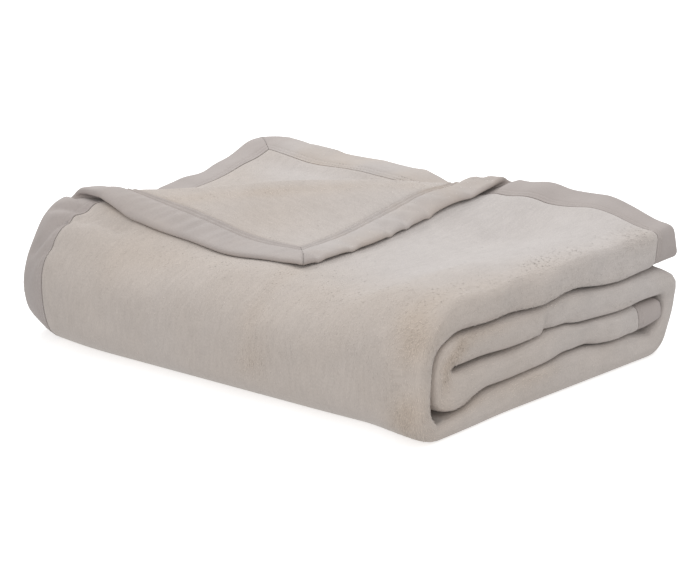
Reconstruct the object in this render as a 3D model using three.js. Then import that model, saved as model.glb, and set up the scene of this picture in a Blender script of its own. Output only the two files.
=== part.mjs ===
// Plush blanket folded into a low pile, with one top corner turned over.
// Millimetres. X runs along the front of the pile, Y to the back, Z up from the ground at z = 0.
// The origin is on the ground, under the middle of the pile.
//
// The blanket is one flat sheet that is folded in two steps. Across its width u it is doubled and
// doubled again, into a band of four plies. Along its length v the band is laid back and forth into
// four layers. Every solid here is drawn on the flat sheet and then carried into the folded shape.
import * as THREE from 'three';

// Thickness of the plush cloth where nothing presses on it, and the air between two plies.
const PLUSH = 7.4;
const AIR = 0.5;

// The band of four plies: where its left and right ends lie, and its folds.
const X_LEFT = -263;
const X_RIGHT = 256;
const NOSE = 24;            // reach of the outer right-hand fold
const NOSE_LENGTH = 62;     // length of cloth in that fold
const NOSE_POWER = 0.6;     // 1 would be an ellipse, less is blunter
const SET_BACK = 42;        // how far the hidden left-hand fold lies inside the free edges
const DROOP_WIDTH = 40;     // width over which a free side edge sinks towards the ply below it
const INNER_RIGHT = X_RIGHT - 24;   // middle of the inner right-hand fold
const NOMINAL_PITCH = 7.5;  // height per ply that the flat sheet is measured with
const LAST_PLY_PITCH = 5.6; // the free edge of the last ply sinks by a ply of this height,
const LAST_PLY_SHARE = 0.2; // and by this share of what a ply has above it

// The band's middle line, seen from the right end: it starts at the back of the top layer, runs
// forward, turns down over the front to the bottom layer, and winds inward from there.
// turn: line = nearly level run, over = bends from level to upright, under = from upright to level.
// layer: height of the four plies together at that point.
const WINDING = [
  { turn: 'start', y: 218, z: 107.5, layer: 40 },
  { turn: 'line', y: -122, z: 107.5, layer: 40 },
  { turn: 'over', y: -182, z: 63, layer: 38 },
  { turn: 'under', y: -160, z: 11.4, layer: 22.8 },
  { turn: 'line', y: 40, z: 12.5, layer: 25 },
  { turn: 'line', y: 166, z: 12.5, layer: 25 },
  { turn: 'over', y: 204, z: 49, layer: 23 },
  { turn: 'under', y: 185, z: 72.5, layer: 30 },
  { turn: 'line', y: -129, z: 72, layer: 29 },
  { turn: 'over', y: -149.5, z: 55.5, layer: 23 },
  { turn: 'under', y: -129, z: 39.2, layer: 30.4 },
  { turn: 'line', y: 30, z: 41.3, layer: 32.4 },
  { turn: 'line', y: 140, z: 41.3, layer: 32.4 },
  { turn: 'line', y: 184, z: 44.4, layer: 22.8 },
];

// The turned corner of the top ply: where its fold crosses the side edge and the back edge,
// measured from the corner, and the roll of the fold.
const CORNER_ALONG_SIDE = 346;
const CORNER_ALONG_BACK = 298;
const ROLL_RADIUS = 4.3;
const ROLL_SWELL = 1.9;     // how much wider the roll is in its middle
const CORNER_SLIDE = 48;    // how far the tip is pulled sideways, towards the front
const LAID_GAP = 2.6;       // room under the turned corner once it has settled
const SETTLE = 45;          // distance over which it settles

// Binding tape folded over every edge, and the thin margin of cloth sewn inside it.
const TAPE_WIDTH = 40;
const TAPE_HALF = 2.6;
const TAPE_WALL = 1;
const TAPE_INSET = 1.1;     // from the finished edge to the inside of the tape's fold
const TAPE_ROUNDING = 1.6;  // how far in the rounding of its edge starts
const TAPE_NOSE_HALF = 1.2;
const MARGIN_HALF = 1.1;
const MARGIN_INSET = 1.5;   // from the finished edge to the cut edge of the cloth
const MARGIN_END = 0.4;     // the thin margin runs on past the tape by this much
const MARGIN_RISE = 3;      // and by this much the pile has its full height again
const MITRE_GAP = 0.25;

// Softness of the pile. Each row swells the height by a share of it, or moves points by millimetres
// along x, y or z, inside its ranges. A range of two numbers fades in from the first to the second.
// A range of four fades in over the first two and out over the last two. ahead is the distance in
// front of the diagonal.
const SWELLS = [
  { place: 'hollow of the top', height: -0.172, ahead: [-25, 141], x: [214, 108], y: [290, 110] },
  { place: 'raised back edge', height: 0.08, x: [108, 0], y: [150, 205] },
  { place: 'notch beside the diagonal', height: -0.022, x: [-60, 20, 50, 100], y: [120, 200] },
  { place: 'back left corner', height: 0.087, x: [-150, -270], y: [50, 185] },
  { place: 'back right swell', height: 0.128, x: [25, 108, 160, 243], y: [90, 190] },
  { place: 'front left shoulder', height: 0.104, x: [-169, -255], y: [-230, -140, -140, -45] },
  { place: 'crest of the diagonal', height: 0.02, ahead: [-60, -10, 30, 90], x: [0, -130] },
  { place: 'right end', height: 0.015, x: [120, 230], y: [-60, 150] },
  { place: 'splayed back left', dx: -45, x: [-60, -270], y: [-60, 200] },
  { place: 'front left end', dx: -7, x: [-120, -270], y: [-60, -200] },
  { place: 'rounded front left', dy: 13.6, x: [-225, -280], y: [-60, -150] },
  { place: 'drawn in back right', dy: -7.6, x: [130, 255], y: [60, 215] },
  { place: 'drawn in top back right', dy: -8.8, x: [130, 255], y: [60, 215], z: [70, 105] },
  { place: 'foot of the front', dy: -10.7, x: [-270, -150], y: [-110, -190], z: [70, 0] },
  { place: 'foot of the front right', dy: -11.1, x: [180, 250], y: [-110, -190], z: [70, 0] },
  { place: 'foot of the back', dy: -6, x: [100, 220], y: [120, 200], z: [50, 15] },
  { place: 'foot of the right end', dx: 2.9, x: [200, 250], z: [70, 0] },
  { place: 'foot of the right front', dx: 5, x: [200, 250], y: [-60, -170], z: [60, 0] },
  { place: 'foot of the left front', dx: -4, x: [-200, -262], y: [-60, -180], z: [75, 45, 30, 5] },
  { place: 'fold at the back edge', dx: 15, x: [-60, 35, 35, 130], y: [110, 205], z: [80, 100] },
  { place: 'low end of the fold', dz: -4.5, x: [-85, -40, 6, 46], y: [140, 205], z: [62, 112] },
  { place: 'high back edge', dz: 6.5, x: [14, 54, 88, 150], y: [140, 205], z: [50, 100] },
  { place: 'high corner edge', dz: 4, x: [-228, -190, -130, -90], y: [150, 205], z: [80, 100] },
  { place: 'high left edge', dz: 4.5, x: [-230, -262], y: [-10, 25, 60, 95], z: [80, 105] },
  { place: 'low left edge', dz: -3.5, x: [-230, -262], y: [80, 115, 160, 195], z: [80, 105] },
  { place: 'lowest crease', dz: -4.5, x: [100, 240], y: [20, -140], z: [4, 24, 24, 44] },
];

// Spacing of the flat pattern. All plies and layers share the same lines across and along the pile,
// so that each facet lies parallel to the ones above and below it.
const FACET_LINES_X = [-168, -114, -60, -6, 21, 48, 102, 156, 200];
const FACET_LINES_Y = [-68, -14, 40, 94, 136];
const BEND_STEPS = { wide: 4, tight: 3 };
const TIGHT_BEND = 45;
const OUTER_FOLD_STEPS = 6;
const INNER_FOLD_STEPS = 3;
const ROLL_STEPS = 7;
const BEYOND_ROLL = [12, 30, 60];
const LEAST_FACET = 12;     // a facet line closer than this to the end of its run is left out

const PLUSH_COLOUR = 0xc4bab2;
const TAPE_COLOUR = 0xb4aba6;

// Small helpers.
function ease(from, to, q) {
  const k = Math.min(1, Math.max(0, (q - from) / (to - from)));
  return k * k * (3 - 2 * k);
}

function divide(from, to, count) {
  return Array.from({ length: count + 1 }, (_, i) => from + ((to - from) * i) / count);
}

function fade(range, q) {
  if (range.length === 2) return ease(range[0], range[1], q);
  return ease(range[0], range[1], q) * ease(range[3], range[2], q);
}

function ellipsePerimeter(a, b) {
  return Math.PI * (3 * (a + b) - Math.sqrt((3 * a + b) * (a + 3 * b)));
}

// The winding: length of each part, and the position, outward direction and layer height at v.
function windingStarts() {
  const starts = [0];
  for (let i = 1; i < WINDING.length; i += 1) {
    const deep = Math.abs(WINDING[i].y - WINDING[i - 1].y);
    const high = Math.abs(WINDING[i].z - WINDING[i - 1].z);
    const length = WINDING[i].turn === 'line' ? deep : ellipsePerimeter(deep, high) / 4;
    starts.push(starts[i - 1] + length);
  }
  return starts;
}

const V_STARTS = windingStarts();

// Rows of the winding that run towards the back, with the bend that ends them.
const BACKWARD_ROWS = [4, 5, 6, 7, 11, 12, 13];
const LENGTH = V_STARTS[V_STARTS.length - 1];

function windingAt(v) {
  let i = 1;
  while (i < WINDING.length - 1 && v >= V_STARTS[i]) i += 1;
  const from = WINDING[i - 1];
  const to = WINDING[i];
  const q = (v - V_STARTS[i - 1]) / (V_STARTS[i] - V_STARTS[i - 1]);
  const soft = q * q * (3 - 2 * q);
  const layer = from.layer + (to.layer - from.layer) * Math.min(1, Math.max(0, soft));
  const angle = (q * Math.PI) / 2;
  const dy = to.y - from.y;
  const dz = to.z - from.z;
  let y = from.y + dy * q;
  let z = from.z + dz * soft;
  let ty = Math.sign(dy);
  let tz = 0;
  if (to.turn === 'over') {
    y = from.y + dy * Math.sin(angle);
    z = to.z - dz * Math.cos(angle);
    ty = dy * Math.cos(angle);
    tz = dz * Math.sin(angle);
  } else if (to.turn === 'under') {
    y = to.y - dy * Math.cos(angle);
    z = from.z + dz * Math.sin(angle);
    ty = dy * Math.sin(angle);
    tz = dz * Math.cos(angle);
  }
  const size = Math.hypot(ty, tz);
  return { y, z, ny: tz / size, nz: -ty / size, layer };
}

// The band of four plies: widths of its parts on the flat sheet, from the free edge of the outer
// ply to the free edge of the inner one.
function bandStarts() {
  const rightStart = X_RIGHT - NOSE;
  const innerTurn = (Math.PI * NOMINAL_PITCH) / 2;
  const widths = [
    rightStart - X_LEFT,
    NOSE_LENGTH,
    rightStart - innerLeftAt(NOMINAL_PITCH),
    innerTurn,
    INNER_RIGHT - innerLeftAt(NOMINAL_PITCH),
    innerTurn,
    INNER_RIGHT - X_LEFT,
  ];
  const starts = [0];
  for (const width of widths) starts.push(starts[starts.length - 1] + width);
  return starts;
}

const U_STARTS = bandStarts();
const WIDTH = U_STARTS[U_STARTS.length - 1];

function droop(fromEdge, depth) {
  return depth * Math.max(0, 1 - fromEdge / DROOP_WIDTH);
}

// Where the inner left fold turns, for a given height per ply.
function innerLeftAt(pitch) {
  return X_LEFT + SET_BACK + 0.5 * pitch;
}

// A share of a blunt curve: the sine or cosine raised to a power, with its sign kept.
function blunt(value, power) {
  return Math.abs(value) < 1e-9 ? 0 : Math.sign(value) * Math.abs(value) ** power;
}

// The outer right-hand fold, a half turn from the top to the bottom of the band.
function noseAt(angle, pitch) {
  const high = 1.5 * pitch;
  const gx = high * blunt(Math.sin(angle), 2 - NOSE_POWER);
  const gw = NOSE * blunt(Math.cos(angle), 2 - NOSE_POWER);
  const size = Math.hypot(gx, gw);
  return {
    x: X_RIGHT - NOSE + NOSE * blunt(Math.sin(angle), NOSE_POWER),
    w: high * blunt(Math.cos(angle), NOSE_POWER),
    nx: gx / size,
    nw: gw / size,
  };
}

// Position x along the band, offset w from its middle ply line, and the ply's outward direction.
function bandAt(u, pitch) {
  const rightStart = X_RIGHT - NOSE;
  const innerLeft = innerLeftAt(pitch);
  let part = 0;
  while (part < 6 && u >= U_STARTS[part + 1]) part += 1;
  const q = (u - U_STARTS[part]) / (U_STARTS[part + 1] - U_STARTS[part]);
  const angle = q * Math.PI;
  if (part === 0) {
    return { x: X_LEFT + q * (rightStart - X_LEFT), w: 1.5 * pitch - droop(u, pitch), nx: 0, nw: 1 };
  }
  if (part === 1) return noseAt(angle, pitch);
  if (part === 2) return { x: rightStart + (innerLeft - rightStart) * q, w: -1.5 * pitch, nx: 0, nw: -1 };
  if (part === 3) {
    return {
      x: innerLeft - 0.5 * pitch * Math.sin(angle),
      w: -pitch - 0.5 * pitch * Math.cos(angle),
      nx: -Math.sin(angle),
      nw: -Math.cos(angle),
    };
  }
  if (part === 4) return { x: innerLeft + (INNER_RIGHT - innerLeft) * q, w: -0.5 * pitch, nx: 0, nw: 1 };
  if (part === 5) {
    return {
      x: INNER_RIGHT + 0.5 * pitch * Math.sin(angle),
      w: -0.5 * pitch * Math.cos(angle),
      nx: -Math.sin(angle),
      nw: Math.cos(angle),
    };
  }
  const depth = Math.min(pitch, LAST_PLY_PITCH) + LAST_PLY_SHARE * Math.max(pitch - LAST_PLY_PITCH, 0);
  const w = 0.5 * pitch - droop(WIDTH - u, depth);
  return { x: INNER_RIGHT + (X_LEFT - INNER_RIGHT) * q, w, nx: 0, nw: -1 };
}

// The turned corner. The diagonal crosses u = CORNER_ALONG_BACK on the back edge and
// v = CORNER_ALONG_SIDE on the side edge.
const DIAGONAL = new THREE.Vector2(1 / CORNER_ALONG_BACK, 1 / CORNER_ALONG_SIDE);
const CORNER_DEPTH = 1 / DIAGONAL.length();
DIAGONAL.normalize();

function pastDiagonal(u, v) {
  return CORNER_DEPTH - (u * DIAGONAL.x + v * DIAGONAL.y);
}

// The roll is bent in flat strips between these distances past the diagonal.
const ROLL_LENGTH = Math.PI * (ROLL_RADIUS + ROLL_SWELL);
const ROLL_LINES = [
  ...divide(0, ROLL_LENGTH, ROLL_STEPS),
  ...BEYOND_ROLL.map((extra) => ROLL_LENGTH + extra),
];

// Where the point that is this far past the diagonal, and this far along it, comes to lie.
function turnedAt(past, along, t) {
  const lowest = -CORNER_ALONG_SIDE * DIAGONAL.x;
  const highest = CORNER_ALONG_BACK * DIAGONAL.y;
  const share = Math.min(1, Math.max(0, (along - lowest) / (highest - lowest)));
  const radius = ROLL_RADIUS + ROLL_SWELL * Math.sin(Math.PI * share) ** 2;
  const laid = PLUSH + LAID_GAP;
  let angle = past / radius;
  let reach = radius * Math.sin(angle) - t * Math.sin(angle);
  let rise = radius - radius * Math.cos(angle) + t * Math.cos(angle);
  if (angle > Math.PI) {
    angle = Math.PI;
    const beyond = past - Math.PI * radius;
    reach = -beyond;
    rise = laid + (2 * radius - laid) * Math.exp(-beyond / SETTLE) - t;
  }
  const slide = (CORNER_SLIDE * past) / CORNER_DEPTH;
  const depth = CORNER_DEPTH - reach;
  return {
    u: DIAGONAL.x * depth + DIAGONAL.y * (along - slide),
    v: DIAGONAL.y * depth - DIAGONAL.x * (along - slide),
    rise,
  };
}

function turnCorner(u, v, t) {
  const past = pastDiagonal(u, v);
  const along = u * DIAGONAL.y - v * DIAGONAL.x;
  const strip = ROLL_LINES.findIndex((line, i) => past >= line && past <= (ROLL_LINES[i + 1] ?? -1));
  if (strip < 0) return turnedAt(past, along, t);
  const near = turnedAt(ROLL_LINES[strip], along, t);
  const far = turnedAt(ROLL_LINES[strip + 1], along, t);
  const share = (past - ROLL_LINES[strip]) / (ROLL_LINES[strip + 1] - ROLL_LINES[strip]);
  return {
    u: near.u + (far.u - near.u) * share,
    v: near.v + (far.v - near.v) * share,
    rise: near.rise + (far.rise - near.rise) * share,
  };
}

// Distance in front of the diagonal, seen from above.
function aheadOfDiagonal(x, y) {
  const backEdge = WINDING[0].y;
  const run = CORNER_ALONG_BACK;
  const depth = CORNER_ALONG_SIDE;
  return ((x - X_LEFT) * depth - (y - backEdge + depth) * run) / Math.hypot(run, depth);
}

function soften(x, y, z) {
  const at = { x, y, z, ahead: aheadOfDiagonal(x, y) };
  const moved = { height: 1, dx: 0, dy: 0, dz: 0 };
  for (const swell of SWELLS) {
    let share = 1;
    for (const axis of ['x', 'y', 'z', 'ahead']) {
      if (swell[axis]) share *= fade(swell[axis], at[axis]);
    }
    for (const kind of Object.keys(moved)) moved[kind] += share * (swell[kind] ?? 0);
  }
  return new THREE.Vector3(x + moved.dx, y + moved.dy, z * moved.height + moved.dz);
}

// Carries a point of the flat sheet, t away from the middle of its thickness, to the folded pile.
function fold(u, v, t) {
  let point = { u, v, rise: 0 };
  let offset = t;
  if (u < CORNER_ALONG_BACK && v < CORNER_ALONG_SIDE && pastDiagonal(u, v) > 0) {
    point = turnCorner(u, v, t);
    offset = 0;
  }
  const line = windingAt(point.v);
  const ply = bandAt(point.u, line.layer / 4);
  const w = ply.w + ply.nw * offset + point.rise;
  return soften(ply.x + ply.nx * offset, line.y + line.ny * w, line.z + line.nz * w - AIR / 2);
}

function plushHalf(v) {
  return Math.min(PLUSH, windingAt(v).layer / 4 - AIR) / 2;
}

function clothHalf(u, v) {
  const fromEdge = Math.min(u, WIDTH - u, v, LENGTH - v);
  return fromEdge < TAPE_WIDTH + (MARGIN_END + MARGIN_RISE) / 2 ? MARGIN_HALF : plushHalf(v);
}

// Stations of the flat pattern: the facet lines of each run, and even steps round each bend.
const TAPE_END = TAPE_WIDTH + MARGIN_END;
const FULL_PILE = TAPE_WIDTH + MARGIN_RISE;

// The facet lines strictly between two places, each as a distance along the flat sheet.
function linesBetween(lines, from, to, start) {
  const clear = (line) => Math.min(Math.abs(line - from), Math.abs(line - to)) > LEAST_FACET;
  return lines
    .filter(clear)
    .map((line) => ({ on: (line - from) / (to - from) }))
    .filter(({ on }) => on > 0 && on < 1)
    .sort((a, b) => a.on - b.on)
    .map(({ on }) => start + on * Math.abs(to - from));
}

function widthStations() {
  const s = U_STARTS;
  const right = X_RIGHT - NOSE;
  const left = innerLeftAt(NOMINAL_PITCH);
  return [
    MARGIN_INSET, TAPE_END, FULL_PILE,
    ...linesBetween(FACET_LINES_X, X_LEFT + FULL_PILE, right, FULL_PILE),
    ...divide(s[1], s[2], OUTER_FOLD_STEPS),
    ...linesBetween(FACET_LINES_X, right, left, s[2]),
    ...divide(s[3], s[4], INNER_FOLD_STEPS),
    ...linesBetween(FACET_LINES_X, left, INNER_RIGHT, s[4]),
    ...divide(s[5], s[6], INNER_FOLD_STEPS),
    ...linesBetween(FACET_LINES_X, INNER_RIGHT, X_LEFT + FULL_PILE, s[6]),
    WIDTH - FULL_PILE, WIDTH - TAPE_END, WIDTH - MARGIN_INSET,
  ];
}

function lengthStations() {
  const out = [MARGIN_INSET, TAPE_END, FULL_PILE];
  for (let i = 1; i < WINDING.length; i += 1) {
    const first = i === 1;
    const last = i === WINDING.length - 1;
    const from = WINDING[i - 1].y;
    const to = WINDING[i].y;
    if (WINDING[i].turn === 'line') {
      const inset = first ? FULL_PILE : 0;
      const near = from + Math.sign(to - from) * inset;
      out.push(...linesBetween(FACET_LINES_Y, near, to, V_STARTS[i - 1] + inset));
      if (!last) out.push(V_STARTS[i]);
    } else {
      const steps = V_STARTS[i] - V_STARTS[i - 1] > TIGHT_BEND ? BEND_STEPS.wide : BEND_STEPS.tight;
      out.push(...divide(V_STARTS[i - 1], V_STARTS[i], steps).slice(1));
    }
  }
  const before = LENGTH - FULL_PILE;
  const kept = out.filter((v) => v < before - 1);
  return [...kept, before, LENGTH - TAPE_END, LENGTH - MARGIN_INSET];
}

// Faces near the diagonal are split along lines parallel to it, so that the roll bends evenly.
function splitPolygon(polygon, level) {
  const side = polygon.map(([u, v]) => {
    const d = pastDiagonal(u, v) - level;
    return Math.abs(d) < 1e-7 ? 0 : d;
  });
  if (side.every((d) => d >= 0) || side.every((d) => d <= 0)) return [polygon];
  const beyond = [];
  const before = [];
  polygon.forEach((point, i) => {
    const j = (i + 1) % polygon.length;
    if (side[i] >= 0) beyond.push(point);
    if (side[i] <= 0) before.push(point);
    if (side[i] * side[j] < 0) {
      const share = side[i] / (side[i] - side[j]);
      const cut = point.map((value, k) => value + (polygon[j][k] - value) * share);
      beyond.push(cut);
      before.push(cut);
    }
  });
  return [beyond, before];
}

function splitAtRoll(polygons) {
  let out = polygons;
  for (const level of ROLL_LINES) out = out.flatMap((polygon) => splitPolygon(polygon, level));
  return out;
}

// Each polygon becomes a fan of triangles from one corner. The corner is the one that lies furthest
// front left in the folded pile, so the triangles of all plies run the same way. In the corners of
// the sheet the fan follows the mitre of the tape.
function fanStart(polygon) {
  const middle = (axis) => polygon.reduce((sum, point) => sum + point[axis], 0) / polygon.length;
  const fromEnds = Math.min(middle(1), LENGTH - middle(1));
  if (fromEnds < TAPE_END && Math.min(middle(0), WIDTH - middle(0)) < TAPE_END) {
    const inset = polygon.map(([u, v]) => Math.min(u, WIDTH - u) + Math.min(v, LENGTH - v));
    return inset.indexOf(Math.min(...inset));
  }
  const ply = U_STARTS.findLastIndex((start) => middle(0) >= start);
  const row = V_STARTS.findLastIndex((start) => middle(1) >= start) + 1;
  const rightward = ply === 0 || ply === 1 || ply === 4 || ply === 5 ? 1 : -1;
  const backward = BACKWARD_ROWS.includes(row) ? 1 : -1;
  const reach = polygon.map(([u, v]) => u * rightward + v * backward);
  return reach.indexOf(Math.min(...reach));
}

// Folds a closed surface of flat polygons, each a list of [u, v, t], into a triangle geometry.
function foldedGeometry(polygons) {
  const positions = [];
  const indices = [];
  const seen = new Map();
  const vertex = ([u, v, t]) => {
    const key = [u, v, t].map((value) => Math.round(value * 1e4)).join(' ');
    if (!seen.has(key)) {
      seen.set(key, positions.length / 3);
      positions.push(...fold(u, v, t).toArray());
    }
    return seen.get(key);
  };
  for (const polygon of splitAtRoll(polygons)) {
    const first = fanStart(polygon);
    const ring = [...polygon.slice(first), ...polygon.slice(0, first)].map(vertex);
    for (let i = 1; i < ring.length - 1; i += 1) {
      const corners = [ring[0], ring[i], ring[i + 1]];
      if (new Set(corners).size === 3) indices.push(...corners);
    }
  }
  const geometry = new THREE.BufferGeometry();
  geometry.setAttribute('position', new THREE.Float32BufferAttribute(positions, 3));
  geometry.setIndex(indices);
  geometry.computeVertexNormals();
  return geometry;
}

// The plush panel, with its thin margins inside the tape.
function clothGeometry() {
  const us = widthStations();
  const vs = lengthStations();
  const point = (i, j, side) => [us[i], vs[j], side * clothHalf(us[i], vs[j])];
  const lastU = us.length - 1;
  const lastV = vs.length - 1;
  const polygons = [];
  for (let i = 0; i < lastU; i += 1) {
    for (let j = 0; j < lastV; j += 1) {
      polygons.push([point(i, j, 1), point(i, j + 1, 1), point(i + 1, j + 1, 1), point(i + 1, j, 1)]);
      polygons.push([point(i, j, -1), point(i + 1, j, -1), point(i + 1, j + 1, -1), point(i, j + 1, -1)]);
    }
    polygons.push([point(i, 0, 1), point(i + 1, 0, 1), point(i + 1, 0, -1), point(i, 0, -1)]);
    polygons.push([point(i, lastV, -1), point(i + 1, lastV, -1), point(i + 1, lastV, 1), point(i, lastV, 1)]);
  }
  for (let j = 0; j < lastV; j += 1) {
    polygons.push([point(0, j, -1), point(0, j + 1, -1), point(0, j + 1, 1), point(0, j, 1)]);
    polygons.push([point(lastU, j, 1), point(lastU, j + 1, 1), point(lastU, j + 1, -1), point(lastU, j, -1)]);
  }
  return foldedGeometry(polygons);
}

// The tape's section: distance from the finished edge, and height from the middle of the cloth.
const INNER_HALF = TAPE_HALF - TAPE_WALL;
const TAPE_SECTION = [
  [TAPE_WIDTH, TAPE_HALF],
  [TAPE_ROUNDING, TAPE_HALF],
  [0, TAPE_NOSE_HALF],
  [0, -TAPE_NOSE_HALF],
  [TAPE_ROUNDING, -TAPE_HALF],
  [TAPE_WIDTH, -TAPE_HALF],
  [TAPE_WIDTH, -INNER_HALF],
  [TAPE_INSET, -INNER_HALF],
  [TAPE_INSET, INNER_HALF],
  [TAPE_WIDTH, INNER_HALF],
];
const SECTION_END_FACES = [[0, 1, 8, 9], [1, 2, 8], [2, 3, 7, 8], [3, 4, 7], [4, 5, 6, 7]];

// One tape along an edge of the sheet, mitred at both ends.
// place carries the distance from the edge, the distance along it and the height to [u, v, t].
function tapeGeometry(stations, full, place, mirrored) {
  const ends = TAPE_WIDTH + MITRE_GAP;
  const first = TAPE_SECTION.map(([inset, t]) => place(inset, inset + MITRE_GAP, t));
  const last = TAPE_SECTION.map(([inset, t]) => place(inset, full - inset - MITRE_GAP, t));
  const middle = stations
    .filter((along) => along > ends && along < full - ends)
    .map((along) => TAPE_SECTION.map(([inset, t]) => place(inset, along, t)));
  const rings = [first, ...middle, last];
  const polygons = [];
  for (let r = 0; r < rings.length - 1; r += 1) {
    for (let i = 0; i < TAPE_SECTION.length; i += 1) {
      const j = (i + 1) % TAPE_SECTION.length;
      polygons.push([rings[r][i], rings[r + 1][i], rings[r + 1][j], rings[r][j]]);
    }
  }
  for (const face of SECTION_END_FACES) {
    polygons.push(face.map((i) => first[i]));
    polygons.push(face.map((i) => last[i]).reverse());
  }
  return foldedGeometry(mirrored ? polygons.map((polygon) => [...polygon].reverse()) : polygons);
}

function namedMesh(name, geometry, color, roughness) {
  const mesh = new THREE.Mesh(geometry, new THREE.MeshStandardMaterial({ color, roughness, metalness: 0 }));
  mesh.name = name;
  return mesh;
}

const blanket = new THREE.Group();
const across = widthStations();
const lengthways = lengthStations();
blanket.add(namedMesh('plush_panel', clothGeometry(), PLUSH_COLOUR, 0.95));
blanket.add(namedMesh(
  'binding_outer_side',
  tapeGeometry(lengthways, LENGTH, (inset, along, t) => [inset, along, t], true),
  TAPE_COLOUR,
  0.8,
));
blanket.add(namedMesh(
  'binding_inner_side',
  tapeGeometry(lengthways, LENGTH, (inset, along, t) => [WIDTH - inset, along, t], false),
  TAPE_COLOUR,
  0.8,
));
blanket.add(namedMesh(
  'binding_outer_end',
  tapeGeometry(across, WIDTH, (inset, along, t) => [along, inset, t], false),
  TAPE_COLOUR,
  0.8,
));
blanket.add(namedMesh(
  'binding_inner_end',
  tapeGeometry(across, WIDTH, (inset, along, t) => [along, LENGTH - inset, t], true),
  TAPE_COLOUR,
  0.8,
));

export default blanket;
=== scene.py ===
# %% [markdown]
# # A plush blanket, folded into a low pile
# The real thing is one soft sheet of warp-knitted plush with a tape sewn over its four edges. It is
# folded to a narrow band, the band is laid back and forth, and one top corner is turned over.
# The imported model gives us the pile as plain solids. We load them first, and at the end the soft
# pieces take their place and the solids are hidden.

# %% The imported solids
import math

import bmesh
import bpy
import numpy as np
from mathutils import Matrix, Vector
from mathutils.bvhtree import BVHTree


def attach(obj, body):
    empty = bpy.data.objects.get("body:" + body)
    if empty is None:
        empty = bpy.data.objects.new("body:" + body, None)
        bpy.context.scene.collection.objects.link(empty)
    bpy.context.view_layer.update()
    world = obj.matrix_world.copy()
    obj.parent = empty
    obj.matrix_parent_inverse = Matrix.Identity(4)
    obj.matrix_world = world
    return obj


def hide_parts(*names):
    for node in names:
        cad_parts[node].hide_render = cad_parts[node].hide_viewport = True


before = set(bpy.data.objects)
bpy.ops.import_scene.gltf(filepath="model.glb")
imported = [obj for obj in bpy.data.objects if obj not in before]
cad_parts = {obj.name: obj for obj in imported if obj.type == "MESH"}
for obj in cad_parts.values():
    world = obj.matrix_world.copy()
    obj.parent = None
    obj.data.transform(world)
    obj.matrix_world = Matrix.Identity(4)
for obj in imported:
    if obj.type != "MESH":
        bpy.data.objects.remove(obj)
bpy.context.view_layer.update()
print("solids:", ", ".join(sorted(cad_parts)))

# %% [markdown]
# ## The flat sheet and its folds
# We could sculpt the folded pile, or drop a flat sheet with a cloth simulation. Neither would put
# each layer where the solids have it. So we describe the folding as a recipe instead: a point of the
# flat sheet is u across, v along and t away from the middle of the cloth, in millimetres, and a
# function carries it to its place in the pile. The panel, the tape and the stitches all use it.

# %% Sizes of the cloth, in millimetres
MM = 0.001
PLUSH = 7.4
AIR = 0.5
TAPE_WIDTH = 40.0
TAPE_HALF = 2.6
MARGIN_HALF = 1.1
MARGIN_INSET = 1.5
MARGIN_END = 0.4

X_LEFT = -263.0
X_RIGHT = 256.0
NOSE = 24.0
NOSE_POWER = 0.32
RIGHT_START = X_RIGHT - NOSE
INNER_RIGHT = X_RIGHT - 24.0
NOSE_LENGTH = 62.0
SET_BACK = 42.0
DROOP_WIDTH = 40.0
NOMINAL_PITCH = 7.5
LAST_PLY_PITCH = 5.6
LAST_PLY_SHARE = 0.2

# The middle line of the band, seen from the right end. Columns: turn, y, z, height of four plies.
WINDING = [
    ("start", 218, 107.5, 40),
    ("line", -122, 107.5, 40),
    ("over", -182, 63, 38),
    ("under", -160, 11.4, 22.8),
    ("line", 40, 12.5, 25),
    ("line", 166, 12.5, 25),
    ("over", 204, 49, 23),
    ("under", 185, 72.5, 30),
    ("line", -129, 72, 29),
    ("over", -149.5, 55.5, 23),
    ("under", -129, 39.2, 30.4),
    ("line", 30, 41.3, 32.4),
    ("line", 140, 41.3, 32.4),
    ("line", 184, 44.4, 22.8),
]
TURNS = np.array([row[0] for row in WINDING])
WINDING_Y, WINDING_Z, WINDING_LAYER = np.array([row[1:] for row in WINDING], float).T


def ellipse_perimeter(a, b):
    return math.pi * (3 * (a + b) - np.sqrt((3 * a + b) * (a + 3 * b)))


def winding_starts():
    deep = np.abs(np.diff(WINDING_Y))
    high = np.abs(np.diff(WINDING_Z))
    lengths = np.where(TURNS[1:] == "line", deep, ellipse_perimeter(deep, high) / 4)
    return np.concatenate([[0], np.cumsum(lengths)])


V_STARTS = winding_starts()
LENGTH = V_STARTS[-1]


def inner_left_at(pitch):
    return X_LEFT + SET_BACK + 0.5 * pitch


def band_starts():
    inner_turn = math.pi * NOMINAL_PITCH / 2
    inner_left = inner_left_at(NOMINAL_PITCH)
    widths = [
        RIGHT_START - X_LEFT,
        NOSE_LENGTH,
        RIGHT_START - inner_left,
        inner_turn,
        INNER_RIGHT - inner_left,
        inner_turn,
        INNER_RIGHT - X_LEFT,
    ]
    return np.concatenate([[0], np.cumsum(widths)])


U_STARTS = band_starts()
WIDTH = U_STARTS[-1]
print(f"flat sheet: {WIDTH * MM:.3f} m across, {LENGTH * MM:.3f} m along")

# %% [markdown]
# ## Two windings
# The first function follows the band of four plies as it winds from the top layer over the front,
# along the ground and back inside. The second places the ply inside the band. Both work on whole
# arrays at once, because numpy handles a hundred thousand points as fast as Python handles a few.

# %% Where a point along the sheet lies in the winding


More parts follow.
